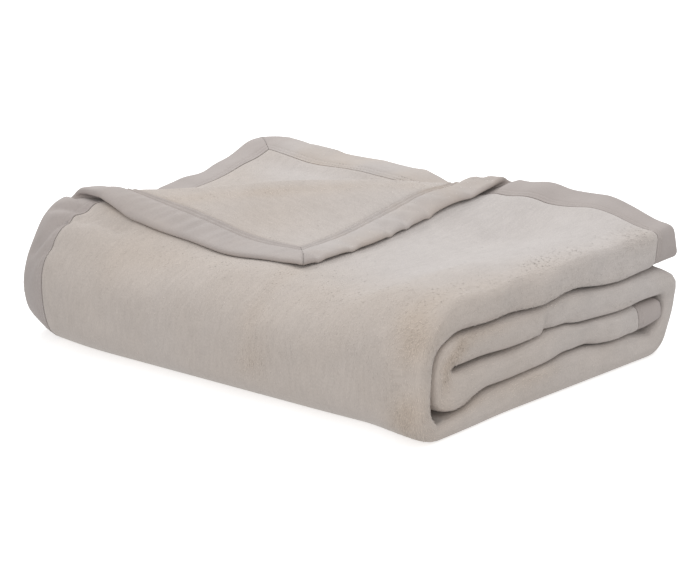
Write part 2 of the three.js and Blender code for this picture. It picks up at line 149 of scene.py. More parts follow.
def winding_at(v):
    """Position y and z, outward direction and layer height at each v."""
    row = np.clip(np.searchsorted(V_STARTS, v, side="right"), 1, len(WINDING) - 1)
    q = (v - V_STARTS[row - 1]) / (V_STARTS[row] - V_STARTS[row - 1])
    soft = q * q * (3 - 2 * q)
    y0, z0, layer0 = WINDING_Y[row - 1], WINDING_Z[row - 1], WINDING_LAYER[row - 1]
    dy = WINDING_Y[row] - y0
    dz = WINDING_Z[row] - z0
    layer = layer0 + (WINDING_LAYER[row] - layer0) * np.clip(soft, 0, 1)
    angle = q * math.pi / 2
    over = TURNS[row] == "over"
    under = TURNS[row] == "under"
    y = y0 + dy * np.where(over, np.sin(angle), np.where(under, 1 - np.cos(angle), q))
    z = z0 + dz * np.where(over, 1 - np.cos(angle), np.where(under, np.sin(angle), soft))
    ty = np.where(over, dy * np.cos(angle), np.where(under, dy * np.sin(angle), np.sign(dy)))
    tz = np.where(over, dz * np.sin(angle), np.where(under, dz * np.cos(angle), 0))
    size = np.hypot(ty, tz)
    return y, z, tz / size, -ty / size, layer


straight = TURNS[1:] == "line"
print("winding:", np.sum(straight), "straight runs and", np.sum(~straight), "quarter bends")

# %% Where a point across the sheet lies in the band


def droop(from_edge, depth):
    return depth * np.maximum(0, 1 - from_edge / DROOP_WIDTH)


def band_at(u, pitch):
    """Position x, offset w from the middle of the band, and the ply's outward direction."""
    part = np.clip(np.searchsorted(U_STARTS, u, side="right") - 1, 0, 6)
    q = (u - U_STARTS[part]) / (U_STARTS[part + 1] - U_STARTS[part])
    angle = q * math.pi
    sine, cosine = np.clip(np.sin(angle), 0, 1), np.cos(angle)
    inner_left = inner_left_at(pitch)
    blunt_sine = sine ** NOSE_POWER
    blunt_cosine = np.sign(cosine) * np.abs(cosine) ** NOSE_POWER
    gx = 1.5 * pitch * sine ** (2 - NOSE_POWER)
    gw = NOSE * np.sign(cosine) * np.abs(cosine) ** (2 - NOSE_POWER)
    size = np.hypot(gx, gw)
    last_depth = np.minimum(pitch, LAST_PLY_PITCH)
    last_depth = last_depth + LAST_PLY_SHARE * np.maximum(pitch - LAST_PLY_PITCH, 0)
    zero, one = np.zeros_like(q), np.ones_like(q)
    places = [
        (X_LEFT + q * (RIGHT_START - X_LEFT), 1.5 * pitch - droop(u, pitch), zero, one),
        (RIGHT_START + NOSE * blunt_sine, 1.5 * pitch * blunt_cosine, gx / size, gw / size),
        (RIGHT_START + (inner_left - RIGHT_START) * q, -1.5 * pitch, zero, -one),
        (inner_left - 0.5 * pitch * sine, -pitch - 0.5 * pitch * cosine, -sine, -cosine),
        (inner_left + (INNER_RIGHT - inner_left) * q, -0.5 * pitch, zero, one),
        (INNER_RIGHT + 0.5 * pitch * sine, -0.5 * pitch * cosine, -sine, cosine),
        (INNER_RIGHT + (X_LEFT - INNER_RIGHT) * q, 0.5 * pitch - droop(WIDTH - u, last_depth), zero, -one),
    ]
    return [np.choose(part, [place[k] for place in places]) for k in range(4)]


print("runs and turns of the band start at", U_STARTS.round(), "mm across the sheet")

# %% [markdown]
# ## The turned corner
# The top corner is lifted, rolled over a diagonal line and laid down again. A straight strip that is
# bent round a small cylinder does the same, so the distance past the diagonal becomes an angle first
# and a flat run afterwards. Near its taped edges the corner sinks until it rests on the cloth below.
# The right-hand edge does so only at a few pinches. Between them its puffed tape holds it up.

# %% The corner's fold
CORNER_U = 298.0
CORNER_V = 346.0
ROLL_RADIUS = 4.3
ROLL_SWELL = 1.9
CORNER_SLIDE = 48.0
LAID_GAP = 2.6
SETTLE = 45.0
CORNER_DEPTH = 1 / math.hypot(1 / CORNER_U, 1 / CORNER_V)
DIAGONAL_U = CORNER_DEPTH / CORNER_U
DIAGONAL_V = CORNER_DEPTH / CORNER_V
ROLL_LENGTH = math.pi * (ROLL_RADIUS + ROLL_SWELL)


def ease(start, end, q):
    k = np.clip((q - start) / (end - start), 0, 1)
    return k * k * (3 - 2 * k)


def past_diagonal(u, v):
    return CORNER_DEPTH - (u * DIAGONAL_U + v * DIAGONAL_V)


# %% How far the corner's edges sink
EDGE_SINK = 3.2
SINK_ACROSS = (46, 6)
SINK_BEYOND = (10, 70)
# Columns: place along the edge, width.
PINCHES = [(22, 5), (70, 6), (125, 5), (150, 4), (182, 5), (238, 6), (262, 4)]
PINCH_LEAN = 0.35
PINCH_REACH = (44, 8)
LIFT_BETWEEN = 2.4
LIFT_ACROSS = (34, 4)
LIFT_BEYOND = (10, 50)


def pinched(along, inset):
    """1 at the pinches of the corner's right-hand edge, 0 between them and away from the edge."""
    total = np.zeros(np.broadcast(along, inset).shape)
    for place, width in PINCHES:
        total = np.maximum(total, np.exp(-((along - place - PINCH_LEAN * inset) / width) ** 2))
    return total * ease(*PINCH_REACH, inset)


def edge_sink(u, v, beyond):
    """How far the corner sinks near its edges and beyond its roll, less between two pinches."""
    sink = EDGE_SINK * ease(*SINK_ACROSS, np.minimum(u, v)) * ease(*SINK_BEYOND, beyond)
    lift = LIFT_BETWEEN * (1 - pinched(u, v)) * ease(*LIFT_ACROSS, v) * ease(*LIFT_BEYOND, beyond)
    return sink - lift


def turn_corner(u, v, t):
    """The place on the sheet, and the height above it, of a point that was turned over."""
    past = past_diagonal(u, v)
    along = u * DIAGONAL_V - v * DIAGONAL_U
    lowest, highest = -CORNER_V * DIAGONAL_U, CORNER_U * DIAGONAL_V
    share = np.clip((along - lowest) / (highest - lowest), 0, 1)
    radius = ROLL_RADIUS + ROLL_SWELL * np.sin(math.pi * share) ** 2
    laid = PLUSH + LAID_GAP
    beyond = past - math.pi * radius
    rolled = beyond <= 0
    angle = np.where(rolled, past / radius, math.pi)
    reach = np.where(rolled, (radius - t) * np.sin(angle), -beyond)
    lying = laid + (2 * radius - laid) * np.exp(-np.maximum(beyond, 0) / SETTLE) - t
    rise = np.where(rolled, radius - (radius - t) * np.cos(angle), lying) - edge_sink(u, v, beyond)
    along = along - CORNER_SLIDE * past / CORNER_DEPTH
    depth = CORNER_DEPTH - reach
    return DIAGONAL_U * depth + DIAGONAL_V * along, DIAGONAL_V * depth - DIAGONAL_U * along, rise


print(f"turned corner: {CORNER_DEPTH:.0f} mm deep, {ROLL_LENGTH:.1f} mm of cloth in the roll")

# %% [markdown]
# ## Softness of the pile
# A pile of plush is never square: it sags in the middle, swells at its back edge and splays at one
# end. Most rows of this table are the solids' own. A few at the right end, along the back edge and at
# the front end of the diagonal fold are only here. They fill and round the layers, and move them by
# about a centimetre at most. Each row moves what lies inside its ranges.

# %% The slow forms
# Height is a share of the height above the ground, the other moves are in millimetres. A range leads
# from no move to the full one. If it has four numbers, the last two lead back to none.
SWELLS = {
    "hollow of the top": dict(height=-0.172, ahead=[-25, 141], x=[214, 108], y=[290, 110]),
    "raised back edge": dict(height=0.08, x=[108, 0], y=[150, 205]),
    "notch beside the diagonal": dict(height=-0.022, x=[-60, 20, 50, 100], y=[120, 200]),
    "back left corner": dict(height=0.087, x=[-150, -270], y=[50, 185]),
    "back right swell": dict(height=0.128, x=[25, 108, 160, 243], y=[90, 190]),
    "front left shoulder": dict(height=0.104, x=[-169, -255], y=[-230, -140, -140, -45]),
    "crest of the diagonal": dict(height=0.02, ahead=[-60, -10, 30, 90], x=[0, -130]),
    "right end": dict(height=0.015, x=[120, 230], y=[-60, 150]),
    "splayed back left": dict(dx=-45, x=[-60, -270], y=[-60, 200]),
    "front left end": dict(dx=-7, x=[-120, -270], y=[-60, -200]),
    "rounded front left": dict(dy=13.6, x=[-225, -280], y=[-60, -150]),
    "drawn in back right": dict(dy=-7.6, x=[130, 255], y=[60, 215]),
    "drawn in top back right": dict(dy=-8.8, x=[130, 255], y=[60, 215], z=[70, 105]),
    "foot of the front": dict(dy=-10.7, x=[-270, -150], y=[-110, -190], z=[70, 0]),
    "foot of the front right": dict(dy=-11.1, x=[180, 250], y=[-110, -190], z=[70, 0]),
    "foot of the back": dict(dy=-6, x=[100, 220], y=[120, 200], z=[50, 15]),
    "foot of the right end": dict(dx=2.9, x=[200, 250], z=[70, 0]),
    "foot of the right front": dict(dx=5, x=[200, 250], y=[-60, -170], z=[60, 0]),
    "foot of the left front": dict(dx=-4, x=[-200, -262], y=[-60, -180], z=[75, 45, 30, 5]),
    "fold at the back edge": dict(dx=15, x=[-60, 35, 35, 130], y=[110, 205], z=[80, 100]),
    "low end of the fold": dict(dz=-5, x=[-85, -40, 16, 38], y=[140, 205], z=[62, 112]),
    "high back edge": dict(dz=6.5, x=[18, 40, 66, 122], y=[140, 205], z=[50, 100]),
    "high back right edge": dict(dz=1, x=[110, 165, 205, 255], y=[140, 205], z=[60, 110]),
    "high corner edge": dict(dz=4, x=[-228, -190, -130, -90], y=[150, 205], z=[80, 100]),
    "high left edge": dict(dz=4.5, x=[-230, -262], y=[-10, 25, 60, 95], z=[80, 105]),
    "low left edge": dict(dz=-3.5, x=[-230, -262], y=[80, 115, 160, 195], z=[80, 105]),
    "full lower layers": dict(dz=4, x=[150, 232], y=[-200, -140, 20, 150], z=[0, 45, 88, 124]),
    "thick lowest layer": dict(dz=5.5, x=[150, 235], y=[-150, -112, 120, 175], z=[2, 26, 30, 52]),
    "bend drawn forward": dict(dy=-11, x=[195, 245], y=[-198, -163, -140, -85], z=[14, 34, 78, 104]),
    "full lower bend": dict(dz=-7, x=[200, 245], y=[-192, -168, -152, -84], z=[2, 21, 36, 62]),
    "front end of the fold": dict(dz=5, x=[-222, -248], y=[-105, -135, -165, -200], z=[80, 112]),
}


def fade(limits, q):
    """From 0 to 1 between the first two limits, and back to 0 between the last two of four."""
    if len(limits) == 2:
        return ease(limits[0], limits[1], q)
    return ease(limits[0], limits[1], q) * ease(limits[3], limits[2], q)


def ahead_of_diagonal(x, y):
    """Distance in front of the corner's fold, seen from above."""
    run, depth = CORNER_U, CORNER_V
    return ((x - X_LEFT) * depth - (y - WINDING_Y[0] + depth) * run) / math.hypot(run, depth)


def swell(x, y, z):
    at = {"x": x, "y": y, "z": z, "ahead": ahead_of_diagonal(x, y)}
    moved = {"height": 1, "dx": 0, "dy": 0, "dz": 0}
    for row in SWELLS.values():
        share = np.ones_like(x)
        for axis in ("x", "y", "z", "ahead"):
            if axis in row:
                share = share * fade(row[axis], at[axis])
        for kind in moved:
            if kind in row:
                moved[kind] = moved[kind] + row[kind] * share
    return np.stack([x + moved["dx"], y + moved["dy"], z * moved["height"] + moved["dz"]], axis=-1)


print("slow forms:", len(SWELLS))

# %% [markdown]
# ## Creases and small unevenness
# On top of the slow forms the real cloth has a few soft creases, and no edge of it runs quite
# straight. A crease is a trough along a short line. The rest is a handful of long waves in random
# directions, drawn with a fixed seed so that the blanket comes out the same every time. Both bend
# the space in which the cloth lies, so that neighbouring layers move together. Only in the tightest
# creases do the tapes still cut a little into themselves and each other.

# %% The creases
# Each moves the cloth its own way, most on a line through these points and less beside it.
CREASE_START = (-0.05, 0.2)
CREASE_END = (1.05, 0.75)
CREASES = {
    "below the front end of the fold": dict(width=5.5, depth=4.6, way=(0.3, 0.55, -0.6),
        along=[(-261, -184, 80), (-246, -176, 102), (-239, -164, 114), (-226, -155, 121),
               (-219, -143, 126)]),
    "at the front end of the fold": dict(width=5.5, depth=4.6, way=(0.1, 0.4, -0.85),
        along=[(-264, -144, 121), (-243, -144, 126), (-230, -137, 128), (-218, -127, 129)]),
    "behind the front end of the fold": dict(width=5, depth=3.6, way=(0, -0.2, -0.9),
        along=[(-268, -113, 126), (-248, -123, 130), (-232, -130, 130), (-214, -124, 128)]),
    "hollow beside the front end of the fold": dict(width=10, depth=8.5, way=(0, -0.3, -0.95),
        along=[(-224, -152, 121), (-208, -132, 128), (-186, -124, 129), (-166, -122, 129)]),
    "end of the front left shoulder": dict(width=5, depth=2.2, way=(0.5, 0.6, -0.5),
        along=[(-262, -190, 58), (-250, -189, 74), (-232, -182, 92), (-216, -176, 104)]),
    "down the front": dict(width=7, depth=2.4, way=(0, 0.75, -0.5),
        along=[(27, -112, 106), (42, -140, 106), (50, -178, 90), (54, -197, 70), (57, -203, 34)]),
    "across the top": dict(width=9, depth=1.8, way=(0, 0, -1),
        along=[(70, 172, 128), (96, 120, 122), (110, 60, 116)]),
    "pinch of the second layer": dict(width=8, depth=7.5, way=(-1, 0, 0),
        along=[(264, -7, 56), (263, -5, 72), (262, -2, 90)]),
    "second pinch of that layer": dict(width=8, depth=6, way=(-1, 0, 0),
        along=[(264, 26, 60), (264, 22, 76), (263, 18, 92)]),
    "pinch of the third layer": dict(width=8, depth=7, way=(-1, 0, 0),
        along=[(264, 62, 22), (264, 58, 40), (264, 60, 58)]),
    "pinch of the top layer": dict(width=7, depth=2.6, way=(-1, 0, -0.3),
        along=[(266, 84, 92), (266, 80, 106), (262, 76, 124)]),
    "beside the inner end": dict(width=4, depth=3, way=(-0.9, 0, 0.2),
        along=[(240, 158, 30), (252, 168, 25), (264, 176, 20)]),
    "below the eye": dict(width=4, depth=2.4, way=(-1, 0, 0),
        along=[(262, -158, 56), (263, -163, 40), (262, -160, 26)]),
}


# %% Waves and distances


def uneven(points, wavelength, seed, waves=7):
    """Smooth waves of about this length, mostly between -1 and 1."""
    chance = np.random.default_rng(seed)
    total = np.zeros(points.shape[:-1])
    for _ in range(waves):
        way = chance.normal(size=3)
        way *= 2 * math.pi / (wavelength * chance.uniform(0.7, 1.5) * np.linalg.norm(way))
        total += np.sin(points @ way + chance.uniform(0, 2 * math.pi))
    return total / math.sqrt(waves)


REACH_SHARE = 0.75


def near_line(points, along, way=(0, 0, 0)):
    """Distance of each point from a bent line, and how far along the line that is, from 0 to 1.

    Distance in the given way counts less, so a crease reaches the cloth above and below its line.
    """
    along = np.array(along, float)
    way = np.array(way, float) / max(np.linalg.norm(way), 1e-9)
    runs = np.diff(along, axis=0)
    lengths = np.linalg.norm(runs, axis=1)
    starts = np.concatenate([[0], np.cumsum(lengths)])
    nearest = np.full(points.shape[:-1], np.inf)
    place = np.zeros(points.shape[:-1])
    for start, run, length, before in zip(along, runs, lengths, starts):
        share = np.clip(((points - start) @ run) / length ** 2, 0, 1)
        offset = points - start - share[..., None] * run
        away = np.linalg.norm(offset - REACH_SHARE * (offset @ way)[..., None] * way, axis=-1)
        closer = away < nearest
        nearest = np.where(closer, away, nearest)
        place = np.where(closer, (before + share * length) / starts[-1], place)
    return nearest, place


# %% The small forms together


def relief(points):
    x, y, z = points[..., 0], points[..., 1], points[..., 2]
    off_ground = ease(2, 26, z)
    right = ease(110, 215, x)
    between = right * ease(6, 24, z) * ease(140, 108, z)
    ruffled = ease(176, 205, y) * ease(92, 112, z) * ease(10, -25, x) * ease(-250, -215, x)
    layer_ends = points * (0.5, 1, 1.6)
    # Columns: axis, height of the waves, what they run over, their length, seed, where they show.
    waves = [
        (0, 1.6, points, 95, 11, off_ground),
        (1, 1.6, points, 90, 12, off_ground),
        (2, 1.1, points * (1, 1, 0.4), 120, 13, off_ground),
        (2, 1.9, layer_ends, 52, 14, between),
        (0, 1.5, layer_ends, 50, 15, right * off_ground),
        (2, 1.5, points * (1, 0.3, 0.2), 30, 16, ruffled),
    ]
    out = points.copy()
    for axis, height, over, wavelength, seed, where in waves:
        out[..., axis] += height * uneven(over, wavelength, seed) * where
    for row in CREASES.values():
        away, place = near_line(points, row["along"], row["way"])
        depth = row["depth"] * np.exp(-(away / row["width"]) ** 2)
        depth = depth * ease(*CREASE_START, place) * ease(*CREASE_END, place)
        out += depth[..., None] * np.array(row["way"], float)
    return out


# %% [markdown]
# ## From the flat sheet to the pile
# Here the steps come together. A point on the turned corner is first carried over the diagonal, to
# the place on the sheet above which it lies. Then both windings are looked up, and the slow forms and
# creases bend the result. The four corners of the sheet are folded and their places printed.

# %% The whole fold


def fold(u, v, t):
    """Carries points of the flat sheet to the folded pile, in metres."""
    u, v, t = np.broadcast_arrays(np.asarray(u, float), np.asarray(v, float), np.asarray(t, float))
    turned = (u < CORNER_U) & (v < CORNER_V) & (past_diagonal(u, v) > 0)
    over_u, over_v, over_rise = turn_corner(u, v, t)
    u_place = np.where(turned, over_u, u)
    v_place = np.where(turned, over_v, v)
    rise = np.where(turned, over_rise, 0)
    offset = np.where(turned, 0, t)
    y, z, ny, nz, layer = winding_at(v_place)
    x, w, nx, nw = band_at(u_place, layer / 4)
    w = w + nw * offset + rise
    points = swell(x + nx * offset, y + ny * w, z + nz * w - AIR / 2)
    return relief(points) * MM


sheet_corners = fold([0, WIDTH, WIDTH, 0], [0, 0, LENGTH, LENGTH], 0)
print("the sheet's corners lie at", sheet_corners.round(3).tolist())

# %% [markdown]
# ## Lines of the flat pattern
# A grid over the flat sheet becomes the mesh. It is fine where the cloth shows or bends, finest beside
# the tape, round the inner turns and at the creases of the front, and coarse where the cloth lies
# hidden between two layers. That keeps the mesh below two hundred thousand triangles. Beside the tape
# the pile rises in a step and a soft round.

# %% Grid lines
INSIDE_TAPE = [7.5, 14.0, 20.5, 27.0, 33.5]
EDGE_LINES = [MARGIN_INSET, *INSIDE_TAPE, TAPE_WIDTH, TAPE_WIDTH + MARGIN_END, 41.5, 43.0, 45.5, 49.5]
NOSE_LINES = 20
NOSE_CLOSER = 0.42

# Columns: where a stretch of the sheet ends, and how far apart its lines are.
WIDTH_STRETCHES = [
    (U_STARTS[1], 6),
    (U_STARTS[2], "nose"),
    (U_STARTS[2] + 60, 7.5),
    (U_STARTS[3], 16),
    (U_STARTS[4], 3),
    (U_STARTS[5], 16),
    (U_STARTS[6], 3),
    (WIDTH - 110, 16),
    (WIDTH - EDGE_LINES[-1], 7.5),
]
LENGTH_STRETCHES = [
    (V_STARTS[1] - 36, 6),
    (V_STARTS[1] + 84, 2.9),
    (V_STARTS[3], 6),
    (V_STARTS[5], 16),
    (V_STARTS[7], 4.8),
    (V_STARTS[8], 12),
    (V_STARTS[10], 4.4),
    (LENGTH - 60, 12),
    (LENGTH - EDGE_LINES[-1], 5),
]


def nose_lines():
    """Lines round the outer fold, closer where it starts and ends, because it runs off fastest there."""
    share = np.linspace(0, math.pi, NOSE_LINES + 1)[1:]
    return U_STARTS[1] + NOSE_LENGTH * (share - NOSE_CLOSER * np.sin(2 * share)) / math.pi


def grid_lines(full, stretches):
    """Lines beside both edges, and evenly spaced ones in each stretch between them."""
    lines = [EDGE_LINES]
    start = EDGE_LINES[-1]
    for end, spacing in stretches:
        if spacing == "nose":
            lines.append(nose_lines())
        else:
            count = max(1, round((end - start) / spacing))
            lines.append(np.linspace(start, end, count + 1)[1:])
        start = end
    return np.concatenate([*lines, full - np.array(EDGE_LINES[-2::-1])])


grid_u, grid_v = grid_lines(WIDTH, WIDTH_STRETCHES), grid_lines(LENGTH, LENGTH_STRETCHES)
print(f"grid: {len(grid_u)} by {len(grid_v)} lines")

# %% Thickness of the cloth
PILLOW = 9.0
STEP_HALF = 2.0


def plush_half(v):
    return np.minimum(PLUSH, winding_at(v)[4] / 4 - AIR) / 2


def cloth_half(u, v):
    """Half the thickness: thin inside the tape, then a step and a soft rise to the full pile."""
    from_edge = np.minimum(np.minimum(u, WIDTH - u), np.minimum(v, LENGTH - v))
    share = np.clip((from_edge - TAPE_WIDTH - MARGIN_END) / PILLOW, 0, 1)
    risen = STEP_HALF + (plush_half(v) - STEP_HALF) * np.sqrt(1 - (1 - share) ** 2)
    return np.where(from_edge > TAPE_WIDTH + 0.01, risen, MARGIN_HALF)


thickness = 2 * cloth_half(WIDTH / 2, np.array([1, 45, 60]))
print("cloth", thickness.round(1), "mm thick, 1, 45 and 60 mm from its edge")

# %% [markdown]
# ## The plush panel
# The panel is a closed skin: the grid once for each face of the cloth, and a narrow strip round the
# edge that joins them. The diagonal roll cuts across the grid, and a coarse quad would show there as
# a step. So the quads near the diagonal are split along lines parallel to it before they are folded.

# %% Splitting along the roll
# Distances past the diagonal at which faces are split, before the roll, on it and after it.
ROLL_LINES = np.concatenate([
    np.linspace(-6, 0, 3)[:-1],
    np.linspace(0, ROLL_LENGTH, 11),
    ROLL_LENGTH + np.array([4, 9, 16, 26]),
])
NEAR_ROLL = 40.0
print("lines along the roll:", len(ROLL_LINES))


def split(polygon, level):
    side = [past_diagonal(point[0], point[1]) - level for point in polygon]
    side = [0 if abs(d) < 1e-6 else d for d in side]
    if min(side) >= 0 or max(side) <= 0:
        return [polygon]
    beyond, before = [], []
    for i, point in enumerate(polygon):
        j = (i + 1) % len(polygon)
        if side[i] >= 0:
            beyond.append(point)
        if side[i] <= 0:
            before.append(point)
        if side[i] * side[j] < 0:
            share = side[i] / (side[i] - side[j])
            cut = tuple(a + (b - a) * share for a, b in zip(point, polygon[j]))
            beyond.append(cut)
            before.append(cut)
    return [beyond, before]


def split_at_roll(polygon):
    """The parts of a flat polygon between the lines of the roll. Most polygons lie outside them all."""
    if max(point[0] for point in polygon) > CORNER_U + NEAR_ROLL:
        return [polygon]
    if max(point[1] for point in polygon) > CORNER_V + NEAR_ROLL:
        return [polygon]
    polygons = [polygon]
    for level in ROLL_LINES:
        polygons = [part for polygon in polygons for part in split(polygon, level)]
    return polygons


# %% Points of a flat pattern


class FlatPoints:
    """Numbers the points of a flat pattern, so that faces that meet share their corners."""

    def __init__(self):
        self.points = []
        self.known = {}

    def number(self, point):
        key = tuple(round(float(value), 4) for value in point)
        if key not in self.known:
            self.known[key] = len(self.points)
            self.points.append(point)
        return self.known[key]

    def faces(self, polygons):
        """Faces as corner numbers, split at the roll and without corners that fell together."""
        faces = []
        for polygon in polygons:
            for part in split_at_roll(polygon):
                face = [self.number(point) for point in part]
                face = [corner for k, corner in enumerate(face) if corner != face[k - 1]]
                if len(set(face)) > 2:
                    faces.append(face)
        return faces


# %% The mesh of the panel


def in_scene(name, data):
    """A new object with this mesh, lamp or camera, linked to the scene."""
    thing = bpy.data.objects.new(name, data)
    bpy.context.scene.collection.objects.link(thing)
    return thing


def new_mesh(name, points, faces):
    mesh = bpy.data.meshes.new(name)
    mesh.from_pydata(points.tolist(), [], faces)
    mesh.validate()
    mesh.shade_smooth()
    return in_scene(name, mesh)


def print_triangles(piece):
    piece.data.calc_loop_triangles()
    print(f"{piece.name}: {len(piece.data.loop_triangles)} triangles")


def make_panel():
    pattern = FlatPoints()
    faces = []
    for u0, u1 in zip(grid_u, grid_u[1:]):
        row = zip(grid_v, grid_v[1:])
        faces += pattern.faces([(u0, v0), (u0, v1), (u1, v1), (u1, v0)] for v0, v1 in row)
    flat = np.array(pattern.points)
    half = cloth_half(flat[:, 0], flat[:, 1])
    count = len(flat)
    points = np.concatenate([fold(flat[:, 0], flat[:, 1], side * half) for side in (1, -1)])
    edges = {(corner, face[(k + 1) % len(face)]) for face in faces for k, corner in enumerate(face)}
    rim = sorted((a, b) for a, b in edges if (b, a) not in edges)
    both = faces + [[corner + count for corner in reversed(face)] for face in faces]
    both += [[b, a, a + count, b + count] for a, b in rim]
    piece = new_mesh("panel", points, both)
    return piece, np.concatenate([flat, flat]), np.repeat([1, -1], count)


panel, panel_flat, panel_side = make_panel()
print_triangles(panel)

# %% [markdown]
# ## Sheet coordinates
# The pile of the plush and the knit of the tape follow the cloth, not the room. So the panel and the
# tapes keep their place on the flat sheet as a UV map in metres. A material that reads it folds with
# the cloth.
# What differs from place to place, such as how open the pile is, is stored as a value per point.

# %% The UV map and stored values


def store_flat_map(piece, flat):
    mesh = piece.data
    corner_vertex = np.zeros(len(mesh.loops), int)
    mesh.loops.foreach_get("vertex_index", corner_vertex)
    layer = mesh.uv_layers.new(name="flat_sheet")
    layer.uv.foreach_set("vector", (flat[corner_vertex] * MM).astype(np.float32).ravel())


def store(piece, name, values):
    """Stores a number or a vector for each point of the mesh."""
    values = np.asarray(values, np.float32)
    kind, field = ("FLOAT", "value") if values.ndim == 1 else ("FLOAT_VECTOR", "vector")
    attribute = piece.data.attributes.new(name, kind, "POINT")
    attribute.data.foreach_set(field, values.ravel())


store_flat_map(panel, panel_flat)
print("flat map on the panel:", len(panel.data.loops), "face corners")

# %% [markdown]
# ## The binding tape
# A tape is folded over each edge of the blanket and sewn down with two rows of stitches. Its section
# is a flattened loop that is open towards the cloth. We draw that section once and carry it along
# the four edges, with the ends cut at 45 degrees so that two tapes meet in a mitre.

# %% The tape's section
TAPE_WALL = 1.0
TAPE_INSET = 1.1
NOSE_HALF = 0.5
EDGE_ROUND = 3.4
SEAM_ROWS = (36.8, 32.4)
SEAM_DEPTH = 0.55
SEAM_SPREAD = 1.3
OUTER_INSETS = np.array([
    40, 39, 38, 37.3, 36.8, 36.3, 35.5, 34.6, 33.6, 32.9, 32.4, 31.9, 31,
    29, 25, 20, 15, 10, 6.5, 4, 2.4, 1.2, 0.4,
])
WALL_INSETS = np.array([TAPE_INSET, *INSIDE_TAPE, TAPE_WIDTH])


def tape_half(inset):
    """Half the tape's thickness at this distance from the finished edge."""
    share = np.clip(inset / EDGE_ROUND, 0, 1)
    half = NOSE_HALF + (TAPE_HALF - NOSE_HALF) * np.sqrt(1 - (1 - share) ** 2)
    for row in SEAM_ROWS:
        half = half - SEAM_DEPTH * np.exp(-((inset - row) / SEAM_SPREAD) ** 2)
    return half


def tape_section():
    """Closed loop of inset, height and side: outer face, round the edge, other face, back inside."""
    half = tape_half(OUTER_INSETS)
    one = np.ones_like(half)
    wall = np.full_like(WALL_INSETS, TAPE_HALF - TAPE_WALL)
    none = np.zeros_like(wall)
    return np.concatenate([
        np.column_stack([OUTER_INSETS, half, one]),
        [(0, 0, 0)],
        np.column_stack([OUTER_INSETS, -half, -one])[::-1],
        np.column_stack([WALL_INSETS, -wall, none])[::-1],
        np.column_stack([WALL_INSETS, wall, none]),
    ])


SECTION = tape_section()
print("tape section:", len(SECTION), "points")

# %% [markdown]
# ## Puffed tape
# On the turned corner nothing presses on the tape, so it stands up full and is gathered by its seam.
# There we raise its open face, and draw it in at many fine gathers that lean away from the edge. On
# the corner's right-hand edge it is drawn in once more, at the pinches where the edge sinks.

# %% How far the tape's open face stands up
FLAP_PUFF = {"outer_end": 4.4, "outer_side": 4.0}
PUFF_STARTS = (2, 24)
PUFF_ROUND = 0.6
RIDGE_BETWEEN_SEAMS = 0.3
GATHER_LEAN = 0.4
GATHER_SPACING = 2.5
GATHER_DRIFTS = ((2.6, 19), (1, 7.1))
GATHER_DEPTH = (0.22, 0.5)
PINCH_DEPTH = 0.65


def gathered(inset, along):
    """From 0 to 1, high where the seam draws the tape in. Spacing and strength are uneven."""
    leaning = along + GATHER_LEAN * inset
    phase = leaning / GATHER_SPACING
    for amount, spacing in GATHER_DRIFTS:
        phase = phase + amount * np.sin(leaning / spacing)
    return (0.5 + 0.5 * np.sin(phase)) ** 2 * (0.65 + 0.35 * np.sin(leaning / 31 + 2))


def puff(edge, inset, along, side):
    """Extra height of the tape's face, on the side that lies open once the corner is turned."""
    if edge not in FLAP_PUFF:
        return np.zeros_like(inset)
    reach = CORNER_U if edge == "outer_end" else CORNER_V
    turned = ease(reach - PUFF_STARTS[0], reach - PUFF_STARTS[1], along)
    lower, upper = min(SEAM_ROWS), max(SEAM_ROWS)
    place = np.clip(inset / lower, 0, 1)
    body = np.sin(math.pi * place) ** PUFF_ROUND
    ridge = RIDGE_BETWEEN_SEAMS * np.sin(math.pi * (inset - lower) / (upper - lower)) ** 2
    across = np.where(inset < lower, body, ridge)
    waves = 1 - (GATHER_DEPTH[0] + GATHER_DEPTH[1] * place) * gathered(inset, along)
    if edge == "outer_end":
        waves = waves * (1 - PINCH_DEPTH * pinched(along, inset))
    return np.where(side < 0, FLAP_PUFF[edge] * across * waves * turned, 0)


print("the open face rises by up to", max(FLAP_PUFF.values()), "mm")

# %% Rings along an edge
EDGES = ("outer_side", "inner_side", "outer_end", "inner_end")
MITRE_GAP = 0.25
MITRE_RINGS = 9


def along_sheet(edge, inset, along):
    """Sheet place of a point this far inside an edge and this far along it."""
    if edge == "outer_side":
        return inset, along
    if edge == "inner_side":
        return WIDTH - inset, along
    if edge == "outer_end":
        return along, inset
    return along, LENGTH - inset


def tape_lines(full, grid, gathered_end):
    """Places along the tape, on the panel's lines and twice as close on the turned corner."""
    ends = TAPE_WIDTH + MITRE_GAP
    halfway = (grid[1:] + grid[:-1]) / 2
    grid = np.sort(np.concatenate([grid, halfway[halfway < gathered_end]]))
    inner = grid[(grid > ends + 2) & (grid < full - ends - 2)]
    return np.concatenate([[ends], inner, [full - ends]])


def tape_rings(edge):
    """The section's points at each place along the edge, cut at 45 degrees at the ends."""
    runs_along = edge.endswith("side")
    full, grid = (LENGTH, grid_v) if runs_along else (WIDTH, grid_u)
    reach = CORNER_V if runs_along else CORNER_U
    lines = tape_lines(full, grid, reach if edge in FLAP_PUFF else 0)
    inset, height, side = SECTION.T
    shares = np.linspace(0, 1, MITRE_RINGS)[:-1]
    mitre = [(inset + MITRE_GAP) * (1 - k) + lines[0] * k for k in shares]
    straight = [np.full_like(inset, line) for line in lines]
    rings = []
    for along in mitre + straight + [full - line for line in mitre[::-1]]:
        u, v = along_sheet(edge, inset, along)
        t = height + side * puff(edge, inset, along, side)
        rings.append([tuple(point) for point in np.stack([u, v, t], axis=-1)])
    return rings


# %% The tapes


